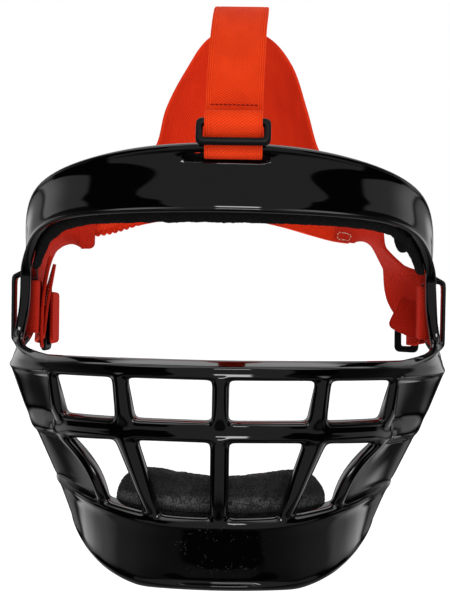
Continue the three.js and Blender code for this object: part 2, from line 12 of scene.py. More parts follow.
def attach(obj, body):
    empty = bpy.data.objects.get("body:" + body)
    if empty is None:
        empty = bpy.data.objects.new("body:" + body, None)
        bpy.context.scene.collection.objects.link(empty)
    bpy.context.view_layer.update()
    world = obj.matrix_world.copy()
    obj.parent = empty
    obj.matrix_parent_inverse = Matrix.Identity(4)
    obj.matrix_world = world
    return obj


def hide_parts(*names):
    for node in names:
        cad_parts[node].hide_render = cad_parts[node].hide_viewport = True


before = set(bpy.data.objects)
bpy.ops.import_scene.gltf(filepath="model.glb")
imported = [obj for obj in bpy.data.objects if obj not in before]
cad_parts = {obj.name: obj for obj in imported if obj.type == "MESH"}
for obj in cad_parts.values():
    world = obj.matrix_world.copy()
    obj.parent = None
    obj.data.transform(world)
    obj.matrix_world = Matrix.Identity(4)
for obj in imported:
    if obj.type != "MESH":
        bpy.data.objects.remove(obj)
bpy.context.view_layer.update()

MM = 0.001

# Driving dimensions, in millimetres
STRAP_WIDTH = 25.0
STRAP_THICKNESS = 1.6
BAR_DEPTH = 10.0
EDGE_STEP = 2.2           # bar edges stand this far behind the bar's crown
RECESS_STEP = 4.6         # cheek panels stand this far behind the bars
LIP_STEP = 3.4            # the sill of the lower windows stands this far behind the chin band
PANEL_WALL = 3.2
CHIN_WALL = 5.2
BAND_WALL = 5.0
BRIDGE_GAP = 5.0
BRIDGE_WALL = 1.6
BRIDGE_TOP = -43.0
BRIDGE_BOTTOM = -74.0
BRIDGE_CORNER = 2.4
PAD_REAR = 14.0

# Camera: where it stands from its aim, and its focal length in pixels of a frame 600 pixels high
CAMERA_AIM = Vector((0, 10, -52))
CAMERA_AZIMUTH = 1.6
CAMERA_ELEVATION = 2.0
CAMERA_ROLL = 0.9
CAMERA_DISTANCE = 749.0
FOCAL_PIXELS = 1684
FRAME_PIXELS = 600
SENSOR = 36.0


def mix(a, b, t):
    return a + (b - a) * t


def ease(start, end, t):
    s = min(1.0, max(0.0, (t - start) / (end - start)))
    return s * s * (3 - 2 * s)


def named(columns, rows):
    return [dict(zip(columns.split(), row)) for row in rows]


def unit(v):
    return v / np.linalg.norm(v)


# Shader nodes

class Wire:
    """A shader socket that works in sums: each operator adds the Math node for it."""

    def __init__(self, nodes, socket):
        self.nodes = nodes
        self.socket = socket

    def math(self, operation, *values):
        return self.nodes.add("ShaderNodeMath", {"operation": operation}, dict(enumerate(values)))

    def __add__(self, other):
        return self.math("ADD", self, other)

    def __radd__(self, other):
        return self.math("ADD", other, self)

    def __sub__(self, other):
        return self.math("SUBTRACT", self, other)

    def __rsub__(self, other):
        return self.math("SUBTRACT", other, self)

    def __mul__(self, other):
        return self.math("MULTIPLY", self, other)

    def __rmul__(self, other):
        return self.math("MULTIPLY", other, self)

    def __truediv__(self, other):
        return self.math("DIVIDE", self, other)

    def __rtruediv__(self, other):
        return self.math("DIVIDE", other, self)

    def __abs__(self):
        return self.math("ABSOLUTE", self)

    def sine(self):
        return self.math("SINE", self)

    def most(self, other):
        return self.math("MAXIMUM", self, other)

    def least(self, other):
        return self.math("MINIMUM", self, other)

    def rise(self, low, high):
        """0 below low and 1 above high, with a smooth step between them."""
        return self.nodes.add("ShaderNodeMapRange", {"interpolation_type": "SMOOTHSTEP"},
                              {0: self, 1: low, 2: high, 3: 0.0, 4: 1.0})

    def span(self, start, full, leave, end):
        """1 from full to leave, with a smooth step up from start and down to end."""
        return self.rise(start, full) * (1 - self.rise(leave, end))


class Nodes:
    """A node tree that is filled by add()."""

    def __init__(self, tree):
        self.tree = tree
        tree.nodes.clear()

    def add(self, kind, settings=None, inputs=None, output=0):
        node = self.tree.nodes.new(kind)
        for name, value in (settings or {}).items():
            setattr(node, name, value)
        for name, value in (inputs or {}).items():
            if isinstance(value, Wire):
                self.tree.links.new(value.socket, node.inputs[name])
            else:
                node.inputs[name].default_value = value
        return Wire(self, node.outputs[output]) if len(node.outputs) else node

    def blend(self, share, first, second):
        """A colour between two colours."""
        return self.add("ShaderNodeMix", {"data_type": "RGBA"}, {0: share, 6: first, 7: second}, output=2)

    def parts(self, vector):
        wire = self.add("ShaderNodeSeparateXYZ", None, {0: vector})
        return [Wire(self, socket) for socket in wire.socket.node.outputs]

    def grain(self, place, scale, detail=2.0):
        return self.add("ShaderNodeTexNoise", None, {"Vector": place, "Scale": scale, "Detail": detail})

    def bump(self, height, strength, distance):
        sockets = {"Height": height, "Strength": strength, "Distance": distance}
        return self.add("ShaderNodeBump", None, sockets)


class Finish(Nodes):
    """The nodes of a new material."""

    def __init__(self, name):
        self.material = bpy.data.materials.new(name)
        self.material.use_nodes = True
        super().__init__(self.material.node_tree)

    def place(self):
        return self.add("ShaderNodeTexCoord", output="Object")

    def close(self, inputs):
        surface = self.add("ShaderNodeBsdfPrincipled", None, inputs)
        self.add("ShaderNodeOutputMaterial", None, {"Surface": surface})
        return self.material


# The chin band's speckled patch, in metres
PATCH_LEVEL, PATCH_HALF_WIDTH, PATCH_HALF_HEIGHT = -0.157, 0.026, 0.014


def moulded_finish():
    """Glossy black moulding with a faint flow texture and a speckled patch at the middle of the chin band."""
    nodes = Finish("moulded_black")
    place = nodes.place()
    x, _, z = nodes.parts(place)
    flow = nodes.grain(place, 60.0)
    speck = nodes.add("ShaderNodeTexVoronoi", None, {"Vector": place, "Scale": 900.0})
    from_middle = abs(x / PATCH_HALF_WIDTH)
    from_level = abs((z - PATCH_LEVEL) / PATCH_HALF_HEIGHT)
    patch = 1 - (from_middle * from_middle + from_level * from_level).rise(0.55, 1.1)
    specks = patch * (1 - speck.rise(0.12, 0.3)) * nodes.grain(place, 260.0).rise(0.5, 0.62)
    return nodes.close({
        "Base Color": nodes.blend(specks * 0.35, (0.0006, 0.0006, 0.0008, 1), (0.06, 0.06, 0.06, 1)),
        "Roughness": 0.035 + flow * 0.03 + specks * 0.3,
        "Normal": nodes.bump(specks * 0.8 + nodes.grain(place, 240.0) * 0.05, 0.25, 0.0002),
        "IOR": 1.5,
    })


def slide_finish():
    nodes = Finish("slide_black")
    place = nodes.place()
    grain = nodes.grain(place, 900.0)
    return nodes.close({
        "Base Color": nodes.blend(grain, (0.002, 0.002, 0.0024, 1), (0.006, 0.006, 0.0066, 1)),
        "Roughness": 0.26 + grain * 0.14,
        "Normal": nodes.bump(grain, 0.12, 0.0002),
        "Specular IOR Level": 0.1,
    })


def foam_finish():
    """Black foam with a fine knitted face."""
    nodes = Finish("foam_lining")
    place = nodes.place()
    x, y, z = nodes.parts(place)
    knit = (x * 5200.0).sine() * (z * 4600.0 + y * 2600.0).sine()
    pile = nodes.grain(place, 700.0, 4.0)
    return nodes.close({
        "Base Color": nodes.blend(pile, (0.0012, 0.0012, 0.0014, 1), (0.007, 0.007, 0.0074, 1)),
        "Roughness": 0.8 + pile * 0.2,
        "Normal": nodes.bump(knit * 0.15 + pile, 0.6, 0.0004),
        "Specular IOR Level": 0.1,
    })


def terry_finish():
    """Black looped terry: dark between the loops and lighter grey on their crowns, the crowns lightened much
    more in a painted sheen band at one height.
    """
    nodes = Finish("terry_black")
    place = nodes.place()
    loops = nodes.grain(place, 1500.0, 3.0)
    patches = nodes.grain(place, 260.0)
    z = nodes.parts(place)[2]
    # painted sheen: a band at one height where the loop crowns are lightened in colour
    painted_sheen_band = z.span(-0.1405, -0.138, -0.1365, -0.1335)
    crowns = (loops * 0.75 + patches * 0.35).rise(0.42, 0.72) * (0.3 + painted_sheen_band)
    return nodes.close({
        "Base Color": nodes.blend(crowns, (0.002, 0.002, 0.0025, 1), (0.075, 0.075, 0.077, 1)),
        "Roughness": 0.85 + loops * 0.15,
        "Normal": nodes.bump(loops, 0.9, 0.0008),
        "Sheen Weight": 0.1,
        "Sheen Roughness": 0.45,
    })


CORD_PITCH, SELVEDGE = 0.9, 2.5     # ribs of the selvedge and its breadth, in millimetres
CREASE_REACH = 0.012                # how near a fold or a nearby part the painted shade darkens the elastic's colour, in metres


def elastic_finish(name, deep, bright, warp_pitch, weft_pitch, slant, contrast=0.5):
    """Woven elastic: ribs along the warp crossed by a slanting weft, with a plain ribbed selvedge, and
    painted shade that darkens its colour near folds and nearby parts.
    """
    nodes = Finish(name)
    weave = nodes.add("ShaderNodeAttribute", {"attribute_name": "weave"}, output="Vector")
    across, along, from_edge = nodes.parts(weave)
    turn = 2 * math.pi
    warp = (across * (turn / warp_pitch)).sine()
    weft = ((along + across * slant) * (turn / weft_pitch)).sine()
    body = 0.5 + 0.28 * weft + 0.22 * (warp * weft)
    cord = 0.5 + 0.5 * (from_edge * (turn / CORD_PITCH)).sine()
    selvedge = 1 - from_edge.rise(SELVEDGE - 0.2, SELVEDGE + 0.2)
    height = body + (cord - body) * (selvedge * 0.7)
    fibre = nodes.grain(weave, 2.6, 4.0)
    fade = nodes.grain(weave, 0.06, 3.0)
    reach = {"Distance": CREASE_REACH}
    # painted shade: ambient occlusion darkens the colour where folds and nearby parts crowd the elastic
    painted_crease_shade = 1 - nodes.add("ShaderNodeAmbientOcclusion", {"samples": 6}, reach, output="AO")
    shade = height * contrast + fibre * 0.35 + fade * 0.3 + (0.4 - contrast) - painted_crease_shade * 0.3
    return nodes.close({
        "Base Color": nodes.blend(shade.rise(0.05, 0.95), deep, bright),
        "Roughness": 0.72 + fibre * 0.2,
        "Normal": nodes.bump(height + fibre * 0.4, 0.55, 0.0003),
        "Specular IOR Level": 0.12,
    })


def thread_finish(name, colour, light):
    nodes = Finish(name)
    place = nodes.place()
    twist = nodes.grain(place, 2400.0)
    return nodes.close({
        "Base Color": nodes.blend(twist, colour, light),
        "Roughness": 0.55 + twist * 0.2,
        "Normal": nodes.bump(twist, 0.4, 0.0002),
        "Specular IOR Level": 0.12,
    })


def floor_finish():
    nodes = Finish("pale_floor")
    place = nodes.place()
    return nodes.close({
        "Base Color": nodes.blend(nodes.grain(place, 3.0), (0.86, 0.86, 0.86, 1), (0.9, 0.9, 0.9, 1)),
        "Roughness": 0.9,
        "Emission Color": (1.0, 1.0, 1.0, 1),
        "Emission Strength": 0.64,
    })


# Camera, floor and light

def make_camera():
    azimuth, elevation = math.radians(CAMERA_AZIMUTH), math.radians(CAMERA_ELEVATION)
    back = Vector((math.sin(azimuth) * math.cos(elevation), -math.cos(azimuth) * math.cos(elevation),
                   math.sin(elevation)))
    lens = bpy.data.cameras.new("camera")
    lens.sensor_width = SENSOR
    lens.lens = FOCAL_PIXELS / FRAME_PIXELS * SENSOR
    camera = bpy.data.objects.new("camera", lens)
    camera.rotation_mode = "QUATERNION"
    camera.location = (CAMERA_AIM + back * CAMERA_DISTANCE) * MM
    turn = Quaternion((0, 0, 1), math.radians(CAMERA_ROLL))
    camera.rotation_quaternion = (-back).to_track_quat("-Z", "Y") @ turn
    bpy.context.scene.collection.objects.link(camera)
    bpy.context.scene.camera = camera


FLOOR_LEVEL = -0.62
FLOOR_SIZE = 40.0


def make_floor():
    half = FLOOR_SIZE / 2
    mesh = bpy.data.meshes.new("floor")
    mesh.from_pydata([(-half, -half, FLOOR_LEVEL), (half, -half, FLOOR_LEVEL), (half, half, FLOOR_LEVEL),
                      (-half, half, FLOOR_LEVEL)], [], [(0, 1, 2, 3)])
    floor = bpy.data.objects.new("floor", mesh)
    mesh.materials.append(floor_finish())
    floor.visible_glossy = False
    bpy.context.scene.collection.objects.link(floor)


TABLE_DISC = math.radians(50)      # how far below the horizon the dark disc lies that the chin band shows
studio_lights = named("name place size watts", [
    ("key", (-0.5, -1.1, 1.0), 0.9, 11.0),
    ("fill", (0.8, -0.9, 0.3), 0.9, 5.0),
    ("rim", (0.0, 1.2, 0.9), 1.2, 10.0),
])
LIGHT_AIM = Vector((0, 0, -0.05))
SOFT_LEVEL = 0.5          # of the surround, as matt surfaces see it
DARK_LEVEL = 0.002        # of the studio's dark flanks


def studio_gloss(x, y, z):
    """What gloss sees: a grey card in front, dark flanks, white walls, a table and a ceiling with a lamp."""
    degrees = 180 / math.pi
    bearing = x.math("ARCTAN2", x, 0 - y) * degrees
    turn = abs(bearing)
    height = z.math("ARCSINE", z) * degrees
    slant = (2 - height.most(-5.0).least(4.0)) * 3.0
    card = (1 - (abs(bearing - 3) - slant).rise(38.5, 41.5)) * 0.35
    card = card * height.span(-24, -15, 44, 50)
    near_wall = (abs(bearing + 2) - slant).rise(73, 77) * (0.45 + turn.rise(84, 106) * 0.65)
    near_wall = near_wall * (1 - turn.rise(112, 120)) * height.rise(-14, -6) * (1 - height.rise(7, 12) * 0.92)
    far_wall = turn.span(114, 126, 158, 168) * (0.45 + turn.rise(138, 152) * 0.35)
    far_wall = far_wall * height.span(-10, -2, 34, 46)
    back_wall = turn.rise(158, 168) * (0.04 + height.rise(0, 36)) * (1 - height.rise(44, 50))
    low_card = (height + (turn - 85) * 0.2).rise(-36, -28) * (1 - height.rise(-20, -17.2))
    low_card = low_card * turn.span(70, 95, 128, 137) * (0.7 + turn.rise(98, 124) * 1.3)
    low_wall = turn.rise(92, 104) * (1.05 - turn.rise(104, 130)) + turn.span(134, 142, 152, 160) * 0.25
    low_wall = low_wall * height.span(-22, -18, -15, -11)
    walls = near_wall.most(far_wall).most(back_wall).most(low_card).most(low_wall)
    over = 0.4 + turn.rise(25, 55) * 1.8 - turn.rise(70, 95) * 1.9 + turn.rise(108, 126) * 1.9
    ceiling = height.rise(42, 49) * over
    lamp = (1 - abs(bearing - 5).rise(11, 13)) * height.span(36, 39, 47, 50) * 11.0
    toward_table = (0 - y) * math.cos(TABLE_DISC) - z * math.sin(TABLE_DISC)
    disc = toward_table.rise(math.cos(math.radians(22)), math.cos(math.radians(19)))
    table = (1 - height.rise(-30, -20)) * (0.07 + turn.rise(30, 100) * 0.2) * (1 - disc)
    return (card + table).most(walls).most(ceiling) + lamp + DARK_LEVEL


def make_studio():
    """A white surround, soft lights that gloss doesn't see, and the studio that only gloss sees."""
    world = bpy.data.worlds.new("studio")
    bpy.context.scene.world = world
    world.use_nodes = True
    nodes = Nodes(world.node_tree)
    gloss = studio_gloss(*nodes.parts(nodes.add("ShaderNodeTexCoord", output="Generated")))
    is_camera = nodes.add("ShaderNodeLightPath", output="Is Camera Ray")
    is_gloss = nodes.add("ShaderNodeLightPath", output="Is Glossy Ray")
    level = is_gloss * gloss + (1 - is_gloss) * SOFT_LEVEL
    seen = level + is_camera * (1.0 - level)
    surround = nodes.add("ShaderNodeBackground", None, {"Color": (1, 1, 1, 1), "Strength": seen})
    nodes.add("ShaderNodeOutputWorld", None, {"Surface": surround})
    for row in studio_lights:
        light = bpy.data.lights.new(row["name"], "AREA")
        light.size = row["size"]
        light.energy = row["watts"]
        holder = bpy.data.objects.new(row["name"], light)
        holder.location = row["place"]
        holder.rotation_mode = "QUATERNION"
        holder.rotation_quaternion = (LIGHT_AIM - holder.location).to_track_quat("-Z", "Y")
        holder.visible_glossy = False
        bpy.context.scene.collection.objects.link(holder)
    bpy.context.scene.view_settings.view_transform = "Standard"


# Meshes

def make_piece(name, points, faces, finish, stands_for=None, levels=0, creases=None, weave=None):
    """A smooth piece from points in millimetres. Levels of subdivision are worked into its mesh."""
    mesh = bpy.data.meshes.new(name)
    mesh.from_pydata((np.asarray(points, float) * MM).tolist(), [], faces)
    if weave is not None:
        attribute = mesh.attributes.new("weave", "FLOAT_VECTOR", "POINT")
        attribute.data.foreach_set("vector", np.asarray(weave, np.float32).ravel())
    if creases:
        sharpness = mesh.attributes.new("crease_edge", "FLOAT", "EDGE")
        for edge in mesh.edges:
            sharpness.data[edge.index].value = creases.get(frozenset(edge.vertices), 0.0)
    piece = bpy.data.objects.new(name, mesh)
    bpy.context.scene.collection.objects.link(piece)
    if levels:
        smooth = piece.modifiers.new("smooth", "SUBSURF")
        smooth.levels = levels
        smooth.render_levels = levels
        smoothed = piece.evaluated_get(bpy.context.evaluated_depsgraph_get())
        piece.data = bpy.data.meshes.new_from_object(smoothed)
        piece.modifiers.clear()
        piece.data.name = name
    piece.data.materials.clear()
    piece.data.materials.append(finish)
    piece.data.shade_smooth()
    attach(piece, "root")
    if stands_for:
        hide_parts(stands_for)
    return piece


class Cage:
    """Faces gathered by their corner points; corners that fall together are shared."""

    def __init__(self):
        self.points = []
        self.known = {}
        self.faces = []
        self.creases = {}

    def at(self, p):
        key = tuple(round(float(c), 3) for c in p)
        if key not in self.known:
            self.known[key] = len(self.points)
            self.points.append(key)
        return self.known[key]

    def face(self, *corners):
        ids = [self.at(p) for p in corners]
        ids = [a for a, b in zip(ids, ids[1:] + ids[:1]) if a != b]
        if len(ids) > 2:
            self.faces.append(ids)

    def crease(self, a, b, sharpness):
        self.creases[frozenset((self.at(a), self.at(b)))] = sharpness


def grid_walls(cage, front, back, kept, opened, sharpness):
    """Front and back faces of every kept cell of two layers of points, with walls at the open edges."""
    rows, columns = len(front) - 1, len(front[0]) - 1

    def inside(j, k):
        return 0 <= j < rows and 0 <= k < columns

    def cell(j, k):
        return inside(j, k) and kept(j, k)

    for j in range(rows):
        for k in range(columns):
            if not kept(j, k):
                continue
            f = [front[j][k], front[j + 1][k], front[j + 1][k + 1], front[j][k + 1]]
            b = [back[j][k], back[j + 1][k], back[j + 1][k + 1], back[j][k + 1]]
            if not opened(j, k, "front"):
                cage.face(*f)
            cage.face(*reversed(b))
            sides = (("left", j, k - 1, 0, 1), ("right", j, k + 1, 2, 3), ("top", j - 1, k, 3, 0),
                     ("bottom", j + 1, k, 1, 2))
            for side, jn, kn, start, end in sides:
                if cell(jn, kn) or opened(j, k, side):
                    continue
                cage.face(f[end], f[start], b[start], b[end])
                if inside(jn, kn):
                    cage.crease(f[start], f[end], sharpness)
                    cage.crease(b[start], b[end], sharpness)


# How crisp the frame's edges are
GUARD_CREASE, STEP_CREASE, TOP_FRONT_CREASE, TOP_BACK_CREASE = 0.32, 0.36, 0.6, 0.55
HOOP_CREASE, BRIDGE_CREASE = 0.5, 0.55

# Frame: the face guard

guard_columns = "name kind level half_width y_front y_side z_middle z_side turn_from turn_to wall lift lean"
guard_keys = named(guard_columns + " relief", [
    ("cheek_top", "brim", 0.00, 103.6, -38.8, 67.0, -78.8, -80.9, 10, 80, 8.0, 3.0, 0.1, 1.4),
    ("cheek_crown", "crown", 0.08, 104.0, -39.0, 66.4, -81.6, -83.2, 10, 80, BAR_DEPTH, 1.0, 0.1, 1.2),
    ("cheek_low", "crown", 0.16, 104.2, -39.0, 65.6, -83.0, -85.2, 10, 80, BAR_DEPTH, 0.0, 0.1, 0.0),
    ("cheek_edge", "edge", 0.20, 103.8, -39.0, 65.0, -84.2, -86.2, 10, 80, BAR_DEPTH, 0.0, 0.1, 0.0),
    ("mid_ledge", "ledge", 1.00, 95.6, -40.0, 56.0, -102.2, -104.2, 10, 80, 9.0, 1.5, 0.5, 1.5),
    ("mid_crown_a", "crown", 1.25, 94.8, -40.0, 54.9, -107.0, -107.4, 10, 80, BAR_DEPTH, 1.0, 0.4, 1.9),
    ("mid_crown_b", "crown", 1.80, 91.0, -40.0, 51.0, -108.6, -112.4, 10, 80, BAR_DEPTH, 0.0, 0.3, 0.0),
    ("mid_edge_low", "edge", 2.00, 89.2, -39.8, 49.0, -110.4, -114.2, 10, 80, BAR_DEPTH, 0.0, 0.3, 0.0),
    ("chin_edge", "lip", 3.00, 78.4, -37.6, 35.0, -142.2, -132.4, 10, 80, BAR_DEPTH, 1.6, 0.3, 0.0),
    ("chin_lip", "crown", 3.06, 78.0, -37.5, 34.4, -143.8, -132.9, 10, 80, 8.0, 0.6, 0.3, 1.1),
    ("chin_crown", "crown", 3.14, 77.2, -37.1, 33.2, -146.6, -134.6, 10, 80, 8.0, 0.0, 0.3, 0.0),
    ("chin_groove", "crown", 3.22, 76.4, -36.4, 32.2, -149.4, -136.0, 13, 82, 7.0, 0.0, 0.3, 0.9),
    ("chin_a", "crown", 3.40, 74.8, -34.4, 30.0, -155.6, -138.4, 18, 84, CHIN_WALL, 0.0, 0.3, 0.7),
    ("chin_b", "crown", 3.70, 71.8, -30.8, 26.4, -164.4, -141.2, 24, 98, CHIN_WALL, 0.0, 0.3, 0.7),
    ("chin_seam", "groove", 3.86, 70.0, -28.8, 23.8, -171.0, -142.2, 26, 103, CHIN_WALL, 0.0, 0.3, 3.2),
    ("chin_rim", "crown", 3.92, 69.2, -28.4, 22.6, -172.8, -142.8, 26, 104, CHIN_WALL, 0.0, 0.3, 0.0),
    ("chin_foot", "brim", 4.00, 67.6, -26.6, 20.4, -175.4, -144.4, 26, 104, CHIN_WALL, 0.6, 0.3, 1.0),
])
PANE_LEVELS = (0.35, 0.6, 0.85, 2.13, 2.5, 2.87)     # rows that only cross the windows and cheek panels


def row_between(level):
    above = [row for row in guard_keys if row["level"] < level][-1]
    below = [row for row in guard_keys if row["level"] > level][0]
    t = (level - above["level"]) / (below["level"] - above["level"])
    row = {key: mix(above[key], below[key], t) for key in above if key not in ("name", "kind")}
    return {**row, "name": "pane", "kind": "pane"}


guard_rows = sorted(guard_keys + [row_between(level) for level in PANE_LEVELS], key=lambda row: row["level"])

column_keys = named("name kind cheek mid_top mid_low chin foot bow sink", [
    ("middle", "crown", 0, 0, 0, 0, 0, 1, 0),
    ("middle_bar", "crown", 1.8, 1.8, 1.9, 1.9, 1.9, 1, 0),
    ("middle_bar_edge", "edge", 3.7, 3.7, 4.1, 4.1, 4.1, 1, 0),
    ("inner_pane_end", "edge", 41.0, 38.0, 36.2, 26.0, 27.4, 1, 0),
    ("side_bar_a", "crown", 43.0, 40.4, 38.9, 28.0, 29.6, 1, 0),
    ("side_bar_b", "crown", 46.2, 43.8, 43.2, 30.8, 32.2, 1, 0),
    ("outer_pane_start", "edge", 48.2, 46.2, 46.4, 32.9, 34.4, 1, 0),
    ("outer_pane_end", "edge", 74.6, 71.6, 67.9, 50.2, 51.2, 2.1, 0),
    ("cheek_bar_a", "crown", 75.8, 73.2, 69.9, 51.9, 52.6, 2.1, 0),
    ("cheek_bar_b", "crown", 78.0, 75.8, 73.6, 54.4, 54.8, 2.1, 0),
    ("panel_a", "panel", 79.2, 77.0, 74.8, 55.6, 56.2, 2.1, 1),
    ("panel_b", "panel", 87.4, 83.4, 79.2, 61.2, 60.2, 1.5, 1),
    ("panel_c", "panel", 94.4, 89.0, 83.2, 67, 63.4, 1.25, 0.9),
])
column_stops = ("cheek", "mid_top", "mid_low", "chin", "foot")
rim_columns = named("name kind angle sink", [
    ("panel_d", "panel", 73, 0.62), ("panel_e", "panel", 80, 0.2), ("rim", "rim", 90, 0.0),
])


def index_of(rows, name):
    return next(i for i, row in enumerate(rows) if row["name"] == name)


half_columns = column_keys + rim_columns


def add_columns(first, last, shares, kind):
    """Columns of a kind at shares of the way from one named column to another, placed after the first."""
    a, b = (half_columns[index_of(half_columns, name)] for name in (first, last))
    more = [{key: mix(a[key], b[key], t) for key in (*column_stops, "bow", "sink")} for t in shares]
    place = index_of(half_columns, first) + 1
    half_columns[place:place] = [{"name": kind, "kind": kind, **column} for column in more]


add_columns("middle_bar_edge", "inner_pane_end", (0.11, 0.37, 0.63, 0.89), "pane")
add_columns("outer_pane_start", "outer_pane_end", (0.14, 0.5, 0.86), "pane")
add_columns("panel_a", "panel_b", (0.33, 0.67), "panel")
side_columns = len(half_columns) - 1


def column_angle(row, column):
    if "angle" in column:
        return math.radians(column["angle"])
    stops = [column[stop] for stop in column_stops]
    i = min(3, int(row["level"]))
    t = row["level"] - i
    if i == 2:
        breadth = mix(stops[3], stops[2], (1 - t) ** column["bow"])
    else:
        breadth = mix(stops[i], stops[i + 1], t)
    return math.asin(min(0.999, breadth / row["half_width"]))


def guard_surface(row, angle, depth, lift=0.0, lean=1.0):
    """A point of the guard's outer surface at an angle in plan, moved inward by depth."""
    length = row["y_side"] - row["y_front"]
    facing = math.atan2(math.sin(angle) * length, math.cos(angle) * row["half_width"]) * lean
    turned = ease(math.radians(row["turn_from"]), math.radians(row["turn_to"]), abs(angle))
    return np.array((row["half_width"] * math.sin(angle) - math.sin(facing) * depth,
                     row["y_side"] - length * math.cos(angle) + math.cos(facing) * depth,
                     mix(row["z_middle"], row["z_side"], turned) + lift))


def front_depth(row, column):
    sunk = RECESS_STEP * column["sink"]
    if row["kind"] in ("crown", "brim"):
        return row["relief"]
    if row["kind"] == "groove":
        return row["relief"] * (1 - 0.7 * ease(9, 30, math.degrees(column_angle(row, column))))
    if column["kind"] == "crown":
        return {"lip": 1.0, "ledge": row["relief"] * 0.5}.get(row["kind"], 0.0)
    if column["kind"] in ("panel", "rim"):
        return sunk * (0.93 if row["name"] == "cheek_edge" else 1.0)
    return {"lip": LIP_STEP, "ledge": row["relief"]}.get(row["kind"], EDGE_STEP)


def back_depth(row, column):
    if column["kind"] == "rim":
        return 4.0
    if column["kind"] == "panel" and row["kind"] not in ("crown", "brim", "groove"):
        return RECESS_STEP * column["sink"] + PANEL_WALL
    return min(row["wall"], 7.0) if "angle" in column else row["wall"]


def mirrored(p, side):
    return np.array((-p[0], p[1], p[2])) if side < 0 else p


def guard_point(j, k, layer):
    row, column = guard_rows[j], half_columns[abs(k - side_columns)]
    if layer == "front":
        p = guard_surface(row, column_angle(row, column), front_depth(row, column))
    else:
        lift = row["lift"] * (1 - 0.7 * ease(60, 80, math.degrees(column_angle(row, column))))
        p = guard_surface(row, column_angle(row, column), back_depth(row, column), lift, row["lean"])
    return mirrored(p, k - side_columns)


def index_pairs(rows, *pairs):
    return [(index_of(rows, first), index_of(rows, last)) for first, last in pairs]


pane_rows = index_pairs(guard_rows, ("cheek_edge", "mid_ledge"), ("mid_edge_low", "chin_edge"))
pane_columns = index_pairs(half_columns, ("middle_bar_edge", "inner_pane_end"),
                           ("outer_pane_start", "outer_pane_end"))


def half_of(i, middle):
    """Number of a cell counted from the middle to its own side."""
    return i - middle if i >= middle else middle - 1 - i


def guard_cell(j, k):
    half = half_of(k, side_columns)
    return not (any(a <= j < b for a, b in pane_rows) and any(a <= half < b for a, b in pane_columns))


# Frame: the hoop of forehead band and rails

hoop_stations = named("ox oy oz cx cy cz", [
    (0, -14, -13.6, 0, -14, 16.7),
    (10, -13.6, -13.6, 10, -13.6, 16.6),
    (19.5, -12.6, -13.8, 19.5, -12.6, 16.3),
    (35, -9.2, -14.1, 35.5, -8.8, 15.1),
    (51.4, -3.4, -14.8, 52.3, -1.8, 12.5),
    (69.8, 7.4, -16.2, 71, 10, 7.8),
    (82.3, 18.9, -19.5, 84, 23.5, 2),
    (89.9, 29.8, -25, 92, 38, -5),
    (94.3, 39.5, -32.5, 96.2, 53, -16),
    (96.9, 45, -39, 97.2, 66, -31),
    (97.2, 46.6, -42.2, 96.9, 71.2, -38.6),
    (97.4, 47, -45.6, 96.6, 73, -42.8),
    (97.6, 47, -58, 96.2, 75.5, -57),
    (99.8, 45, -70.6, 98, 74.2, -72.6),
    (99.8, 37, -75.8, 101.6, 72.4, -76.6),
])
# Across the hoop, from the face opening to the crest: share of the breadth and the depth of the front
hoop_profile = named("share depth", [
    (0, 1.5), (0.025, 0.2), (0.055, 0), (0.1, 1.3), (0.36, 0.9), (0.58, 0.9), (0.72, 0.9), (0.86, 0.6),
    (0.905, 0.1), (0.96, 0), (1, 1.3),
])
HOOP_CENTRE_Y, HOOP_HALF_WIDTH, HOOP_LENGTH = 56.0, 97.0, 70.0
foot_columns = list(range(index_of(half_columns, "panel_a"), side_columns + 1))
foot_tail = [(104.0, 67.9, -79.4), (103.4, 69.4, -79.0), (102.4, 70.8, -78.6)]
foot_station = len(hoop_stations)
CREST_SLOT_STATIONS, CREST_SLOT_COLUMN = 2, 6
RAIL_SLOT_STATIONS, RAIL_SLOT_COLUMN = (11, 13), 4
BRIDGE_ROOTS = (10, 13)


def hoop_surface(station, share, depth):
    """A point across the hoop at a fractional station, moved inward by depth."""
    i = min(len(hoop_stations) - 2, int(station))
    a, b = hoop_stations[i], hoop_stations[i + 1]
    edge = {key: mix(a[key], b[key], station - i) for key in a}
    p = np.array([mix(edge["o" + axis], edge["c" + axis], share) for axis in "xyz"])
    normal = unit(np.array((p[0] / HOOP_HALF_WIDTH ** 2, (p[1] - HOOP_CENTRE_Y) / HOOP_LENGTH ** 2, 0)))
    return p - normal * depth


def hoop_point(s, c, layer):
    side = s - foot_station
    half = abs(side)
    if half < foot_station:
        edge = c in (0, len(hoop_profile) - 1)
        depth = hoop_profile[c]["depth"] if layer == "front" else BAND_WALL - (0.8 if edge else 0)
        return mirrored(hoop_surface(half, hoop_profile[c]["share"], depth), side)
    if c < len(foot_columns):
        return guard_point(0, side_columns + int(math.copysign(foot_columns[c], side)), layer)
    x, y, z = foot_tail[c - len(foot_columns)]
    inward = (1.0, 0.0) if layer == "front" else (5.0, 0.6)
    return mirrored(np.array((x - inward[0], y - inward[1], z)), side)


def hoop_cell(s, c):
    half = half_of(s, foot_station)
    in_crest = half < CREST_SLOT_STATIONS and c == CREST_SLOT_COLUMN
    in_rail = RAIL_SLOT_STATIONS[0] <= half < RAIL_SLOT_STATIONS[1] and c == RAIL_SLOT_COLUMN
    return not in_crest and not in_rail


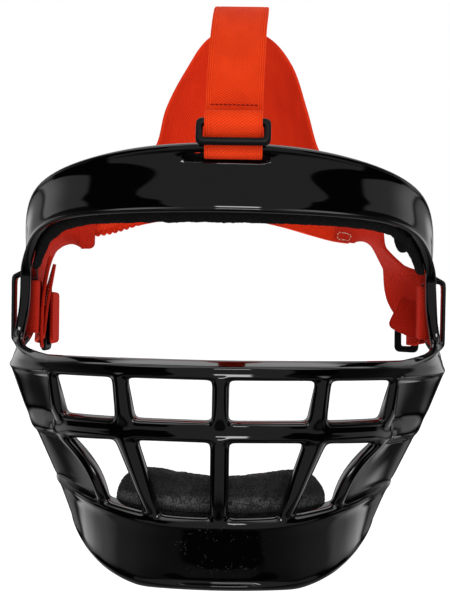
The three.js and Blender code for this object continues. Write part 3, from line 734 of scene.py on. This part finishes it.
def add_bridge(cage, side):
    """The thin loop over a rail's strap slot: it leaves the rail above the slot and returns below it."""
    upper, lower = BRIDGE_ROOTS
    columns = (RAIL_SLOT_COLUMN, RAIL_SLOT_COLUMN + 1)

    def on_rail(station):
        return [hoop_point(foot_station + side * station, c, "front") for c in columns]

    def outside(reach, z):
        points = []
        for c in columns:
            profile = hoop_profile[c]
            p = hoop_surface(RAIL_SLOT_STATIONS[0] + 1, profile["share"], profile["depth"] - reach)
            points.append(mirrored(np.array((p[0], p[1], z)), side))
        return points

    levels = ((BRIDGE_TOP, -1), (BRIDGE_TOP - BRIDGE_CORNER, -1), (BRIDGE_BOTTOM + BRIDGE_CORNER, 1),
              (BRIDGE_BOTTOM, 1))
    rings = [on_rail(upper) + on_rail(upper + 1)[::-1]]
    for z, inward in levels:
        inner = outside(BRIDGE_GAP, z + inward * BRIDGE_WALL)
        rings.append(outside(BRIDGE_GAP + BRIDGE_WALL, z) + inner[::-1])
    rings += [on_rail(lower + 1) + on_rail(lower)[::-1]]
    for a, b in zip(rings, rings[1:]):
        for i in range(4):
            n = (i + 1) % 4
            quad = [a[i], b[i], b[n], a[n]]
            cage.face(*(quad if side > 0 else quad[::-1]))
            cage.crease(a[i], b[i], BRIDGE_CREASE)


STEP_LEAST = 2.4          # a rise between two points of the front that counts as a step


def crease_steps(cage, front, depth):
    """Keeps both edges of every step between a bar and a recess crisp."""
    for j in range(len(front) - 1):
        for k in range(len(front[0]) - 1):
            across = min(abs(depth[j][k] - depth[j][k + 1]), abs(depth[j + 1][k] - depth[j + 1][k + 1]))
            down = min(abs(depth[j][k] - depth[j + 1][k]), abs(depth[j][k + 1] - depth[j + 1][k + 1]))
            if across > STEP_LEAST:
                cage.crease(front[j][k], front[j + 1][k], STEP_CREASE)
                cage.crease(front[j][k + 1], front[j + 1][k + 1], STEP_CREASE)
            if down > STEP_LEAST:
                cage.crease(front[j][k], front[j][k + 1], STEP_CREASE)
                cage.crease(front[j + 1][k], front[j + 1][k + 1], STEP_CREASE)


def layers(point, rows, columns):
    """The front and back points of a grid."""
    return [[[point(j, k, layer) for k in range(columns)] for j in range(rows)]
            for layer in ("front", "back")]


def make_frame(finish):
    cage = Cage()
    breadth = 2 * side_columns + 1

    def at_rail_foot(j, k, side):
        return side == "top" and j == 0 and half_of(k, side_columns) >= foot_columns[0]

    def joined(s, c, side):
        half = half_of(s, foot_station)
        if side == "front":
            return half in BRIDGE_ROOTS and c == RAIL_SLOT_COLUMN
        return half == foot_station - 1 and c < len(foot_columns) - 1 and side in ("top", "bottom")

    front, back = layers(guard_point, len(guard_rows), breadth)
    grid_walls(cage, front, back, guard_cell, at_rail_foot, GUARD_CREASE)
    depths = [[front_depth(row, half_columns[abs(k - side_columns)]) for k in range(breadth)]
              for row in guard_rows]
    crease_steps(cage, front, depths)
    for k in range(breadth - 1):
        cage.crease(front[0][k], front[0][k + 1], TOP_FRONT_CREASE)
        cage.crease(back[0][k], back[0][k + 1], TOP_BACK_CREASE)
    front, back = layers(hoop_point, 2 * foot_station + 1, len(hoop_profile))
    grid_walls(cage, front, back, hoop_cell, joined, HOOP_CREASE)
    add_bridge(cage, 1)
    add_bridge(cage, -1)
    return make_piece("frame_shell", cage.points, cage.faces, finish, "frame", levels=2,
                      creases=cage.creases)


# Pads

def ring_faces(count, size, start=0, closed=False):
    """Faces between rings of points. Closed joins the last ring to the first."""
    faces = []
    for s in range(count if closed else count - 1):
        t = (s + 1) % count
        for i in range(size):
            n = (i + 1) % size
            faces.append(tuple(start + ring * size + k for ring, k in ((s, i), (s, n), (t, n), (t, i))))
    return faces


def loft(loops):
    """Points and faces of a solid through closed loops, with a fan of triangles at both ends."""
    loops = np.asarray(loops, float)
    count, size = loops.shape[:2]
    points = loops.reshape(-1, 3).tolist()
    faces = ring_faces(count, size)
    for s, flip in ((0, True), (count - 1, False)):
        middle = len(points)
        points.append(loops[s].mean(axis=0).tolist())
        for i in range(size):
            a, b = s * size + i, s * size + (i + 1) % size
            faces.append((middle, b, a) if flip else (middle, a, b))
    return points, faces


def together(shells):
    """Points and faces of several solids as one."""
    points, faces = [], []
    for more_points, more_faces in shells:
        faces += [tuple(i + len(points) for i in face) for face in more_faces]
        points += more_points
    return points, faces


def swell(piece, waves):
    """Uneven surface of a soft pad: waves of a height in millimetres, each with its rate per metre."""
    for vertex in piece.data.vertices:
        rise = sum(noise.noise(vertex.co * rate) * height for rate, height in waves)
        vertex.co += vertex.normal * rise * MM


forehead_section = named("share depth", [
    (0.62, 5.6), (0.3, 5.6), (0.02, 5.6), (-0.1, 6.6), (-0.15, 9), (-0.12, 12), (-0.03, PAD_REAR - 0.4),
    (0.15, PAD_REAR), (0.45, PAD_REAR), (0.62, 13), (0.72, 10.5), (0.72, 7),
])
PAD_FRONT = 5.6
FOREHEAD_REACH = 9.4
PAD_RISE, NOTCH_RISE = 0.17, 0.06
PAD_MIDDLE_DEPTH = 10
STRAP_NOTCH = (-15.5, -11.8, 17.8, 21.5)
# A loose tab of foam below the lining on the wearer's left: drop below its root, and radius
TAB_PLACE = (80, 31, -21.5)
TAB_SIDES, TAB_FLATNESS = 12, 0.7
tab_section = [(0, 4.6), (2.5, 4.3), (5, 3.9), (7.2, 3), (8.4, 1.2)]


def make_forehead_pad(finish):
    start, full, leave, clear = STRAP_NOTCH
    loops = []
    for s in np.linspace(-FOREHEAD_REACH, FOREHEAD_REACH, 73):
        half = abs(s)
        thin = mix(1, 0.5, ease(5, 8.5, half))
        end = mix(1, 0.72, ease(FOREHEAD_REACH - 0.5, FOREHEAD_REACH, half))
        x = math.copysign(hoop_surface(half, 0.8, 0)[0], s)
        notch = ease(start, full, x) * (1 - ease(leave, clear, x))
        top_rise = PAD_RISE * (1 - ease(4, 6, half))
        front_rise = top_rise * (1 - notch) - NOTCH_RISE * notch
        rear_rise = top_rise + NOTCH_RISE * notch
        loop = []
        for p in forehead_section:
            rise = rear_rise if p["depth"] > PAD_MIDDLE_DEPTH else front_rise
            share = mix(0.25, p["share"] + rise * ease(0.5, 0.7, p["share"]), end)
            depth = PAD_FRONT + (p["depth"] - PAD_FRONT) * thin * end
            loop.append(mirrored(hoop_surface(half, share, depth), s))
        loops.append(loop)
    turns = np.linspace(0, 2 * math.pi, TAB_SIDES, endpoint=False)
    tab = [[np.array(TAB_PLACE) + (r * math.cos(a), TAB_FLATNESS * r * math.sin(a), -drop) for a in turns]
           for drop, r in tab_section]
    points, faces = together([loft(loops), loft(tab)])
    piece = make_piece("forehead_lining", points, faces, finish, "forehead_pad", levels=2)
    swell(piece, ((700, 0.3), (160, 0.4)))
    return piece


chin_section = named("rise depth", [
    (15.5, 13.8), (12, 10.7), (2, 10.4), (-6, 10.4), (-13, 9.9), (-16.5, 11.8), (-16.5, 18), (-13, 22),
    (-4, 24), (6, 24.4), (12, 22.6), (15.5, 19),
])
CHIN_PAD_MIDDLE = -139.0
CHIN_PAD_ANGLE = 43.6
CHIN_PAD_CORE = 17.4
CHIN_PAD_DIP = -2.6


def make_chin_pad(finish):
    row = {**guard_rows[index_of(guard_rows, "chin_edge")], "z_middle": 0.0, "z_side": 0.0}
    loops = []
    for u in np.linspace(-1, 1, 25):
        angle = u * math.radians(CHIN_PAD_ANGLE)
        end = math.sqrt(max(0.18, 1 - abs(u) ** 9))
        dip = CHIN_PAD_DIP * (1 - ease(0, 0.75, abs(u)))
        loop = []
        for p in chin_section:
            depth = CHIN_PAD_CORE + (p["depth"] - CHIN_PAD_CORE) * mix(0.6, 1, end)
            height = CHIN_PAD_MIDDLE + p["rise"] * end + (dip if p["rise"] > 0 else 0)
            loop.append(guard_surface(row, angle, depth, height))
        loops.append(loop)
    points, faces = loft(loops)
    piece = make_piece("chin_terry", points, faces, finish, "chin_pad", levels=3)
    swell(piece, ((900, 0.3), (260, 0.3)))
    return piece


# Elastic

class SmoothLine:
    """A smooth curve through points, its knots spaced by the square root of the distances between them."""

    def __init__(self, points):
        self.points = np.asarray(points, float)

    def at(self, t):
        p = self.points
        last = len(p) - 1
        i = min(int(t * last), last - 1)
        w = t * last - i
        p1, p2 = p[i], p[i + 1]
        p0 = p[i - 1] if i > 0 else 2 * p[0] - p[1]
        p3 = p[i + 2] if i + 2 <= last else 2 * p[last] - p[last - 1]
        d0, d1, d2 = (math.sqrt(np.linalg.norm(b - a)) for a, b in ((p0, p1), (p1, p2), (p2, p3)))
        d1 = d1 if d1 > 1e-2 else 1.0
        d0 = d0 if d0 > 1e-2 else d1
        d2 = d2 if d2 > 1e-2 else d1
        m1 = ((p1 - p0) / d0 - (p2 - p0) / (d0 + d1) + (p2 - p1) / d1) * d1
        m2 = ((p2 - p1) / d1 - (p3 - p1) / (d1 + d2) + (p3 - p2) / d2) * d1
        return p1 + m1 * w + (3 * (p2 - p1) - 2 * m1 - m2) * w ** 2 + (2 * (p1 - p2) + m1 + m2) * w ** 3


class Ribbon:
    """A strap's middle line and the direction of its breadth, read by the length along it."""

    def __init__(self, stations, across=(0, 0, 1)):
        usual = dict(zip(("ax", "ay", "az"), across))
        self.middle = SmoothLine([(s["x"], s["y"], s["z"]) for s in stations])
        self.across = SmoothLine([[s.get(key, usual[key]) for key in usual] for s in stations])
        self.shares = np.linspace(0, 1, 1200)
        self.line = np.array([self.middle.at(t) for t in self.shares])
        steps = np.linalg.norm(np.diff(self.line, axis=0), axis=1)
        self.runs = np.concatenate(([0], np.cumsum(steps)))
        self.length = self.runs[-1]

    def frame(self, run):
        """Place, direction along, direction across and normal at a length along the strap."""
        t = float(np.interp(run, self.runs, self.shares))
        small = 1e-4
        along = unit(self.middle.at(min(1, t + small)) - self.middle.at(max(0, t - small)))
        normal = unit(np.cross(along, self.across.at(t)))
        return self.middle.at(t), along, np.cross(normal, along), normal

    def nearest(self, place):
        return self.runs[np.argmin(np.linalg.norm(self.line - np.array(place), axis=1))]

    def surface(self, run, share, side):
        """Place on a face of the strap, with the direction out of it."""
        p, along, breadth, normal = self.frame(run)
        face = p + breadth * (share * STRAP_WIDTH / 2) + normal * (side * STRAP_THICKNESS / 2)
        return face, normal * side


# Across a strap: share of the half breadth, and share of the half thickness
strap_section = [(0.0, 0.96), (0.25, 0.96), (0.5, 0.96), (0.72, 0.96), (0.8, 0.94), (0.83, 0.8), (0.86, 1.0),
                 (0.89, 0.82), (0.92, 1.0), (0.95, 0.82), (0.975, 0.86), (0.995, 0.5)]
STRAP_STEP = 0.8
END_RADIUS = 2.4
FOLD_INSET, FOLD_REACH = 1.3, 2.2
EDGE_WANDER, EDGE_WANDER_RATE = 0.12, 0.15


def end_inset(run, length, radius):
    """How far a strap's edges draw in near its ends, whose corners are rounded."""
    gap = min(run, length - run, radius)
    return radius - math.sqrt(max(0.0, radius ** 2 - (radius - gap) ** 2))


def strap_shell(ribbon, width, radius, fold=None):
    """Points, faces and weave of a length of elastic, drawn in a little at a fold."""
    half = strap_section + [(1.0, 0.0)]
    upper = [(-a, b) for a, b in half[::-1]] + half[1:]
    section = upper + [(a, -b) for a, b in upper[::-1] if b]
    corner = radius * np.array([0.05, 0.15, 0.3, 0.5, 0.75])
    runs = np.linspace(0, ribbon.length, int(ribbon.length / STRAP_STEP) + 1)
    runs = np.unique(np.concatenate((runs, corner, ribbon.length - corner)))
    loops, weave = [], []
    for run in runs:
        p, along, breadth, normal = ribbon.frame(run)
        wander = EDGE_WANDER * noise.noise(Vector((run * EDGE_WANDER_RATE, 3.0, 0.0)))
        drawn_in = FOLD_INSET * math.exp(-((run - fold) / FOLD_REACH) ** 2) if fold else 0.0
        reach = width / 2 - end_inset(run, ribbon.length, radius) - drawn_in
        loops.append([p + breadth * (a * reach + wander) + normal * (b * STRAP_THICKNESS / 2)
                      for a, b in section])
        weave += [(a * width / 2, run, (1 - abs(a)) * width / 2) for a, b in section]
    points, faces = loft(loops)
    weave += [(0, 0, width / 2), (0, ribbon.length, width / 2)]
    return points, faces, weave


def make_strap(name, ribbon, node, finish, ends=(), fold=None):
    """A strap, with the loose ends of it that show beside it."""
    shells = [strap_shell(ribbon, STRAP_WIDTH, END_RADIUS, fold)]
    shells += [strap_shell(leaf, width, LEAF_RADIUS) for leaf, width in ends]
    points, faces = together(shell[:2] for shell in shells)
    weave = sum((shell[2] for shell in shells), [])
    length = sum((leaf.length * width / STRAP_WIDTH for leaf, width in ends), ribbon.length)
    piece = make_piece(name, points, faces, finish, node, weave=weave)
    return (piece, length * MM)[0]


top_stations = named("x y z", [
    (3.2, -11.6, 19.4), (3.2, -11.4, 23.4), (3.2, -11.8, 26.6), (3.2, -13.4, 28.9), (3.2, -15.8, 29.5),
    (3.2, -17.9, 27.8), (3.2, -18.5, 24.8), (3.2, -17.3, 21.4), (3.2, -16.2, 18), (3.2, -16.1, 14.4),
    (3.2, -15.4, 11.6), (3.2, -13.2, 10.3), (3.2, -10, 10.2), (3.2, -7.1, 10.8), (3.2, -5.8, 13.2),
    (3.2, -5.9, 17), (3.2, -6.6, 24), (3.2, -5.8, 32), (3.4, -2, 44), (3.8, 6, 57), (4.2, 18, 69.6),
    (4.6, 33, 78.6), (4.8, 50, 82.6), (4.6, 66, 82.4), (4.2, 80, 80.8), (3.8, 89.4, 78.6), (3.4, 94.6, 72.2),
    (3.4, 99, 63.8), (3.4, 102.5, 56.5), (3.4, 105.5, 49.4),
])
strap_columns = "x y z ax ay az"
side_stations = {
    "left": named(strap_columns, [
        (52, 87.2, -13, 0, -0.2, 1), (59, 84.6, -14.2, 0, -0.25, 0.97), (66.4, 82.4, -19.6, 0, -0.6, 0.75),
        (73.2, 83.6, -28.8, 0.05, -0.95, 0.15), (79.6, 85.4, -37, 0.2, -0.95, 0.2),
        (85.4, 86.4, -45.6, 0.7, -0.6, 0.4), (89.2, 84.8, -53.6, 0.42, -0.3, 0.86),
        (91, 79.6, -57.8, 0, 0.05, 1), (91.2, 71.6, -58.4), (91.2, 66.5, -58.4), (91, 62.2, -58.4),
        (92, 59.7, -58.4), (94.2, 59.1, -58.4), (97.8, 60.5, -58.4, -0.06, 0, 1),
        (98.8, 64.5, -58.4, -0.06, 0, 1), (98.75, 70.4, -58.5, -0.06, 0, 1),
        (98.6, 77, -58.8, -0.05, 0, 1), (97.8, 82.4, -59.6), (96.6, 88.2, -61), (94.2, 92, -62.2),
        (91.4, 93, -63), (89, 92.1, -63), (87.7, 90.1, -63), (88.7, 87.7, -63), (91.2, 86.1, -63),
        (93, 85.2, -63),
    ]),
    "right": named(strap_columns, [
        (-66, 84, -18.4, 0, -0.2, 1), (-71, 82.8, -18.4, 0, -0.2, 1),
        (-77.8, 83, -19.6, -0.15, -0.35, 0.9), (-85.4, 85, -24.5, -0.3, -0.8, 0.5),
        (-91, 88, -32.5, -0.15, -0.95, 0.3), (-94.4, 92.2, -42, 0, -0.85, 0.5),
        (-96.6, 92.6, -50, 0, -0.6, 0.8), (-98, 88.4, -56, 0, -0.25, 1), (-98.9, 81, -58.4, 0.04, 0, 1),
        (-98.75, 74, -58.6, 0.06, 0, 1), (-98.8, 64.5, -58.4, 0.06, 0, 1),
        (-97.8, 60.5, -58.4, 0.06, 0, 1), (-94.2, 59.1, -58.4), (-91.6, 59.7, -58.4), (-90.9, 62.2, -58.4),
        (-91.1, 66.5, -58.4), (-91.2, 72, -58.8), (-91.9, 77, -60.8), (-93.1, 80.4, -62.6),
        (-94.1, 84.4, -64), (-93.7, 88.6, -65), (-92.4, 97.4, -65), (-91.3, 99.4, -65),
        (-88.9, 100.5, -65), (-86.6, 99.5, -65), (-85.6, 97.2, -65), (-86.2, 90.4, -65), (-87.1, 84, -65),
    ]),
}

# Loose ends, each with its side and width: a fold over the left slide, a leaf behind the right rail that is
# seen nearly edge on, and the turned edge of the right strap
LEAF_RADIUS = 3.0
loose_ends = [
    ("left", 15.0, named(strap_columns, [
        (89.9, 81.6, -54, 0.8, -0.1, -0.6), (87.8, 80.4, -60, 0.8, -0.1, -0.6),
        (85.5, 79.6, -65, 0.79, -0.1, -0.6), (83.6, 79.2, -69, 0.79, -0.1, -0.6),
    ])),
    ("right", 8.0, named(strap_columns, [
        (-90.7, 79.5, -74.5, -0.24, 1, 0), (-90, 79.5, -66.7, -0.28, 1, 0),
        (-89.3, 79.5, -58.9, -0.32, 1, 0), (-88.2, 79.5, -52, -0.34, 1, 0),
        (-86.7, 79.5, -45.2, -0.24, 1, 0), (-85.2, 79.5, -38.4, -0.14, 1, 0),
    ])),
    ("right", 8.0, named(strap_columns, [
        (-87, 77, -34.9, -0.2, 1, 0), (-88.2, 74, -42.1, -0.2, 1, 0), (-89, 71, -49.8, -0.18, 1, 0),
        (-89.4, 68.5, -57.9, -0.16, 1, 0), (-89.5, 67, -66, -0.16, 1, 0),
        (-89.6, 66.5, -72.8, -0.16, 1, 0), (-89.4, 67.5, -78, -0.2, 1, 0),
    ])),
]

panel_stations = named("lx ly lz ux uy uz bulge gather", [
    (-70, 86.6, -24.4, -70, 86.2, -9, 0, 1),
    (-59, 91.4, -22.4, -58, 88.4, -2, 1, 1),
    (-48, 95.4, -19, -46, 88.6, 7, 3.5, 0.7),
    (-33, 100, -15.8, -36.4, 88.2, 20.8, 8, 0.15),
    (-19, 102.8, -14.2, -32, 88, 38.2, 11, 0),
    (-8, 104, -13.6, -22.8, 88, 56.8, 12, 0),
    (-2, 104.2, -13.8, -11, 88.2, 73.4, 12, 0),
    (3, 104.2, -14.2, 3.4, 88.5, 77, 12, 0),
    (8, 104.2, -14.8, 16.9, 88.2, 73.4, 12, 0),
    (15, 103.8, -16, 28, 88, 60.6, 12, 0),
    (26, 102.4, -18.4, 35.8, 88, 39, 11, 0),
    (39, 99, -22, 41.8, 88.2, 19.6, 8, 0.15),
    (49, 95.4, -24.6, 49.4, 88.4, 8, 3.5, 0.7),
    (54, 93.6, -25.4, 54.6, 88.6, 1.6, 1.6, 1),
    (58, 92.4, -25.8, 59.4, 89.2, -4.4, 0, 1),
])
PANEL_THICKNESS = 1.6
GATHER_DEPTH = 0.9
GATHER_FOLDS = 3
SCALLOP, SCALLOP_RATE, SCALLOP_END = 0.6, 56, (0.12, 0.17)   # puckers low at the wearer's right end


def panel_line(keys):
    return SmoothLine([[s[key] for key in keys.split()] for s in panel_stations])


def panel_points(rows, columns):
    """The rear panel's middle surface: rows from the lower edge up, each from the wearer's right to left."""
    low, high, form = panel_line("lx ly lz"), panel_line("ux uy uz"), panel_line("bulge gather gather")
    turn = 2 * math.pi
    points = []
    for v in np.linspace(0, 1, rows):
        row = []
        for u in np.linspace(0, 1, columns):
            bulge, gather, _ = form.at(u)
            fold = min(1, max(0, gather)) * GATHER_DEPTH * math.sin(turn * GATHER_FOLDS * v)
            pucker = SCALLOP * math.sin(turn * SCALLOP_RATE * u) * (1 - ease(*SCALLOP_END, u)) * (1 - v) ** 6
            row.append(mix(low.at(u), high.at(u), v) + np.array((0, bulge * 4 * v * (1 - v) + fold, pucker)))
        points.append(row)
    return np.array(points)


def make_rear_panel(finish):
    rows, columns = 49, 337
    middle = panel_points(rows, columns)
    slope_v, slope_u = np.gradient(middle, axis=(0, 1))
    normal = np.cross(slope_u, slope_v)
    normal /= np.linalg.norm(normal, axis=2, keepdims=True)
    run_v = np.cumsum(np.linalg.norm(slope_v, axis=2), axis=0)
    run_u = np.cumsum(np.linalg.norm(slope_u, axis=2), axis=1)
    from_edge = np.minimum(run_v, run_v[-1:] - run_v)
    weave = np.stack((run_v, run_u, from_edge), axis=2).reshape(-1, 3)
    points = [(middle + normal * (side * PANEL_THICKNESS / 2)).reshape(-1, 3) for side in (-1, 1)]
    layer = rows * columns
    grid = np.arange(layer).reshape(rows, columns)
    faces = []
    for j in range(rows - 1):
        for k in range(columns - 1):
            a, b, d, c = grid[j:j + 2, k:k + 2].ravel().tolist()
            faces.append((d, c, b, a))
            faces.append((layer + a, layer + b, layer + c, layer + d))
    rim = np.concatenate((grid[0], grid[1:, -1], grid[-1, -2::-1], grid[-2:0:-1, 0])).tolist()
    for a, b in zip(rim, rim[1:] + rim[:1]):
        faces.append((a, b, layer + b, layer + a))
    piece = make_piece("rear_elastic", np.concatenate(points), faces, finish, "rear_panel",
                       weave=np.concatenate((weave, weave)))
    return piece


# Slides

SLIDE_LENGTH, SLIDE_BREADTH, SLIDE_THICKNESS = 32.4, 13.2, 2.6
SLIDE_LONG_BAR, SLIDE_SHORT_BAR, SLIDE_CORNER, SLIDE_INNER_CORNER = 3.6, 3.2, 2.8, 1.0
slide_section = [(0.0, 0.35), (0.12, 0.85), (0.32, 1.0), (0.68, 1.0), (0.88, 0.85), (1.0, 0.35)]


def rounded_outline(half_length, half_breadth, radius, steps=5):
    points = []
    for quarter, (sx, sy) in enumerate(((1, -1), (1, 1), (-1, 1), (-1, -1))):
        for i in range(steps + 1):
            angle = (quarter - 1 + i / steps) * math.pi / 2
            points.append((sx * (half_length - radius) + radius * math.cos(angle),
                           sy * (half_breadth - radius) + radius * math.sin(angle)))
    return np.array(points)


def make_slide(name, node, finish, place, long, short):
    outer = rounded_outline(SLIDE_LENGTH / 2, SLIDE_BREADTH / 2, SLIDE_CORNER)
    inner = rounded_outline(SLIDE_LENGTH / 2 - SLIDE_SHORT_BAR, SLIDE_BREADTH / 2 - SLIDE_LONG_BAR,
                            SLIDE_INNER_CORNER)
    ex, ey = unit(np.array(long, float)), unit(np.array(short, float))
    ez = np.cross(ex, ey)
    ring = slide_section + [(t, -h) for t, h in slide_section[::-1]]
    points = []
    for o, i in zip(outer, inner):
        for t, h in ring:
            a, b = mix(i, o, t)
            points.append(np.array(place) + ex * a + ey * b + ez * (h * SLIDE_THICKNESS / 2))
    faces = ring_faces(len(outer), len(ring), closed=True)
    return make_piece(name, points, faces, finish, node, levels=1)


# Stitches

STITCH_RADIUS = 0.32
STITCH_SIDES = 6
stitch_rings = [(-1.0, 0.35), (-0.7, 0.85), (0.0, 1.0), (0.7, 0.85), (1.0, 0.35)]


def make_stitches(name, stitches, finish):
    """Thread, with one bead for each stitch, which gives its place, direction, normal and length."""
    points, faces = [], []
    turns = [2 * math.pi * i / STITCH_SIDES for i in range(STITCH_SIDES)]
    for place, along, normal, length in stitches:
        across = np.cross(normal, along)
        start = len(points)
        for t, r in stitch_rings:
            for turn in turns:
                out = across * math.cos(turn) + normal * math.sin(turn)
                points.append(place + along * (t * length / 2) + out * (r * STITCH_RADIUS))
        faces += ring_faces(len(stitch_rings), STITCH_SIDES, start)
        faces.append(tuple(start + i for i in reversed(range(STITCH_SIDES))))
        faces.append(tuple(range(len(points) - STITCH_SIDES, len(points))))
    return make_piece(name, points, faces, finish)


def stitch_line(ribbon, start, end, side, pitch=1.9, length=1.4):
    """Stitches on a strap's face from one (run, share across) to another."""
    reach = math.dist(*((run, share * STRAP_WIDTH / 2) for run, share in (start, end)))
    count = max(2, int(reach / pitch))
    shares = [i / count for i in range(count + 1)]
    spots = [ribbon.surface(mix(start[0], end[0], t), mix(start[1], end[1], t), side) for t in shares]
    stitches = []
    for (a, na), (b, nb) in zip(spots, spots[1:]):
        normal = unit(na + nb)
        stitches.append(((a + b) / 2, unit(b - a), normal, length))
    return stitches


def facing_side(ribbon, run, direction):
    """The face of the strap that looks in a direction at a run along it."""
    return 1 if np.dot(ribbon.frame(run)[3], direction) > 0 else -1


# The mask

FRONT = (0, -1, 0)
slide_places = named("name node place long short", [
    ("top_ring", "top_slide", (3.2, -17.25, 21), (1, 0, 0), (0, 0.432, 0.902)),
    ("side_ring_left", "side_slide_left", (87.4, 92, -63), (0, 0, 1), (-0.85, 0.53, 0)),
    ("side_ring_right", "side_slide_right", (-90.4, 91, -65), (0, 0, 1), (0.13, 0.99, 0)),
])
# Stitching: a row of (run along the strap, share of its half breadth) places
hem_place, hem_reach = (3.2, -5.8, 33.2), 0.84
box_corners = [(1.2, -0.6), (11.5, -0.6), (11.5, -0.88), (1.2, -0.88), (1.2, -0.6)]
leaf_start, leaf_end, leaf_share = 16, 31, -0.8
RIGHT_FOLD = (-85.6, 97.2, -65)
FINE_STITCH = {"pitch": 1.5, "length": 1.0}

make_camera()
make_floor()
make_studio()

strap_finish = elastic_finish("strap_elastic", (0.4, 0.012, 0.002, 1), (0.86, 0.06, 0.006, 1), 0.9, 1.15, 0.6)
side_finish = elastic_finish("side_elastic", (0.16, 0.004, 0.002, 1), (0.66, 0.024, 0.008, 1), 0.9, 1.2, 0.6,
                             contrast=0.3)
panel_finish = elastic_finish("panel_elastic", (0.5, 0.013, 0.003, 1), (0.9, 0.05, 0.009, 1), 1.1, 1.0, 0.0)
red_thread = thread_finish("red_thread", (0.12, 0.004, 0.003, 1), (0.24, 0.008, 0.005, 1))
pale_thread = thread_finish("pale_thread", (0.5, 0.2, 0.14, 1), (0.8, 0.42, 0.32, 1))
slide_black = slide_finish()

make_frame(moulded_finish())
make_forehead_pad(foam_finish())
make_chin_pad(terry_finish())
top = Ribbon(top_stations, (1, 0, 0))
make_strap("top_elastic", top, "top_strap", strap_finish)
sides = {side: Ribbon(stations) for side, stations in side_stations.items()}
ends = {side: [] for side in sides}
for side, width, stations in loose_ends:
    ends[side].append((Ribbon(stations), width))
for side, ribbon in sides.items():
    fold = ribbon.nearest(RIGHT_FOLD) if side == "right" else None
    make_strap(f"side_elastic_{side}", ribbon, f"side_strap_{side}", side_finish, ends[side], fold)
make_rear_panel(panel_finish)
for slide in slide_places:
    make_slide(finish=slide_black, **slide)

hem_run = top.nearest(hem_place)
hem = stitch_line(top, (hem_run, -hem_reach), (hem_run, hem_reach), facing_side(top, hem_run, FRONT))
make_stitches("top_stitching", hem, red_thread)
left = sides["left"]
box_side = facing_side(left, 5, FRONT)
box = [stitch_line(left, a, b, box_side, **FINE_STITCH) for a, b in zip(box_corners, box_corners[1:])]
make_stitches("side_stitching_left", sum(box, []), pale_thread)
leaf, leaf_width = ends["right"][0]
leaf_edge = leaf_share * (leaf_width / STRAP_WIDTH)
leaf_row = stitch_line(leaf, (leaf_start, leaf_edge), (leaf_end, leaf_edge), facing_side(leaf, 24, FRONT),
                       **FINE_STITCH)
make_stitches("side_stitching_right", leaf_row, pale_thread)
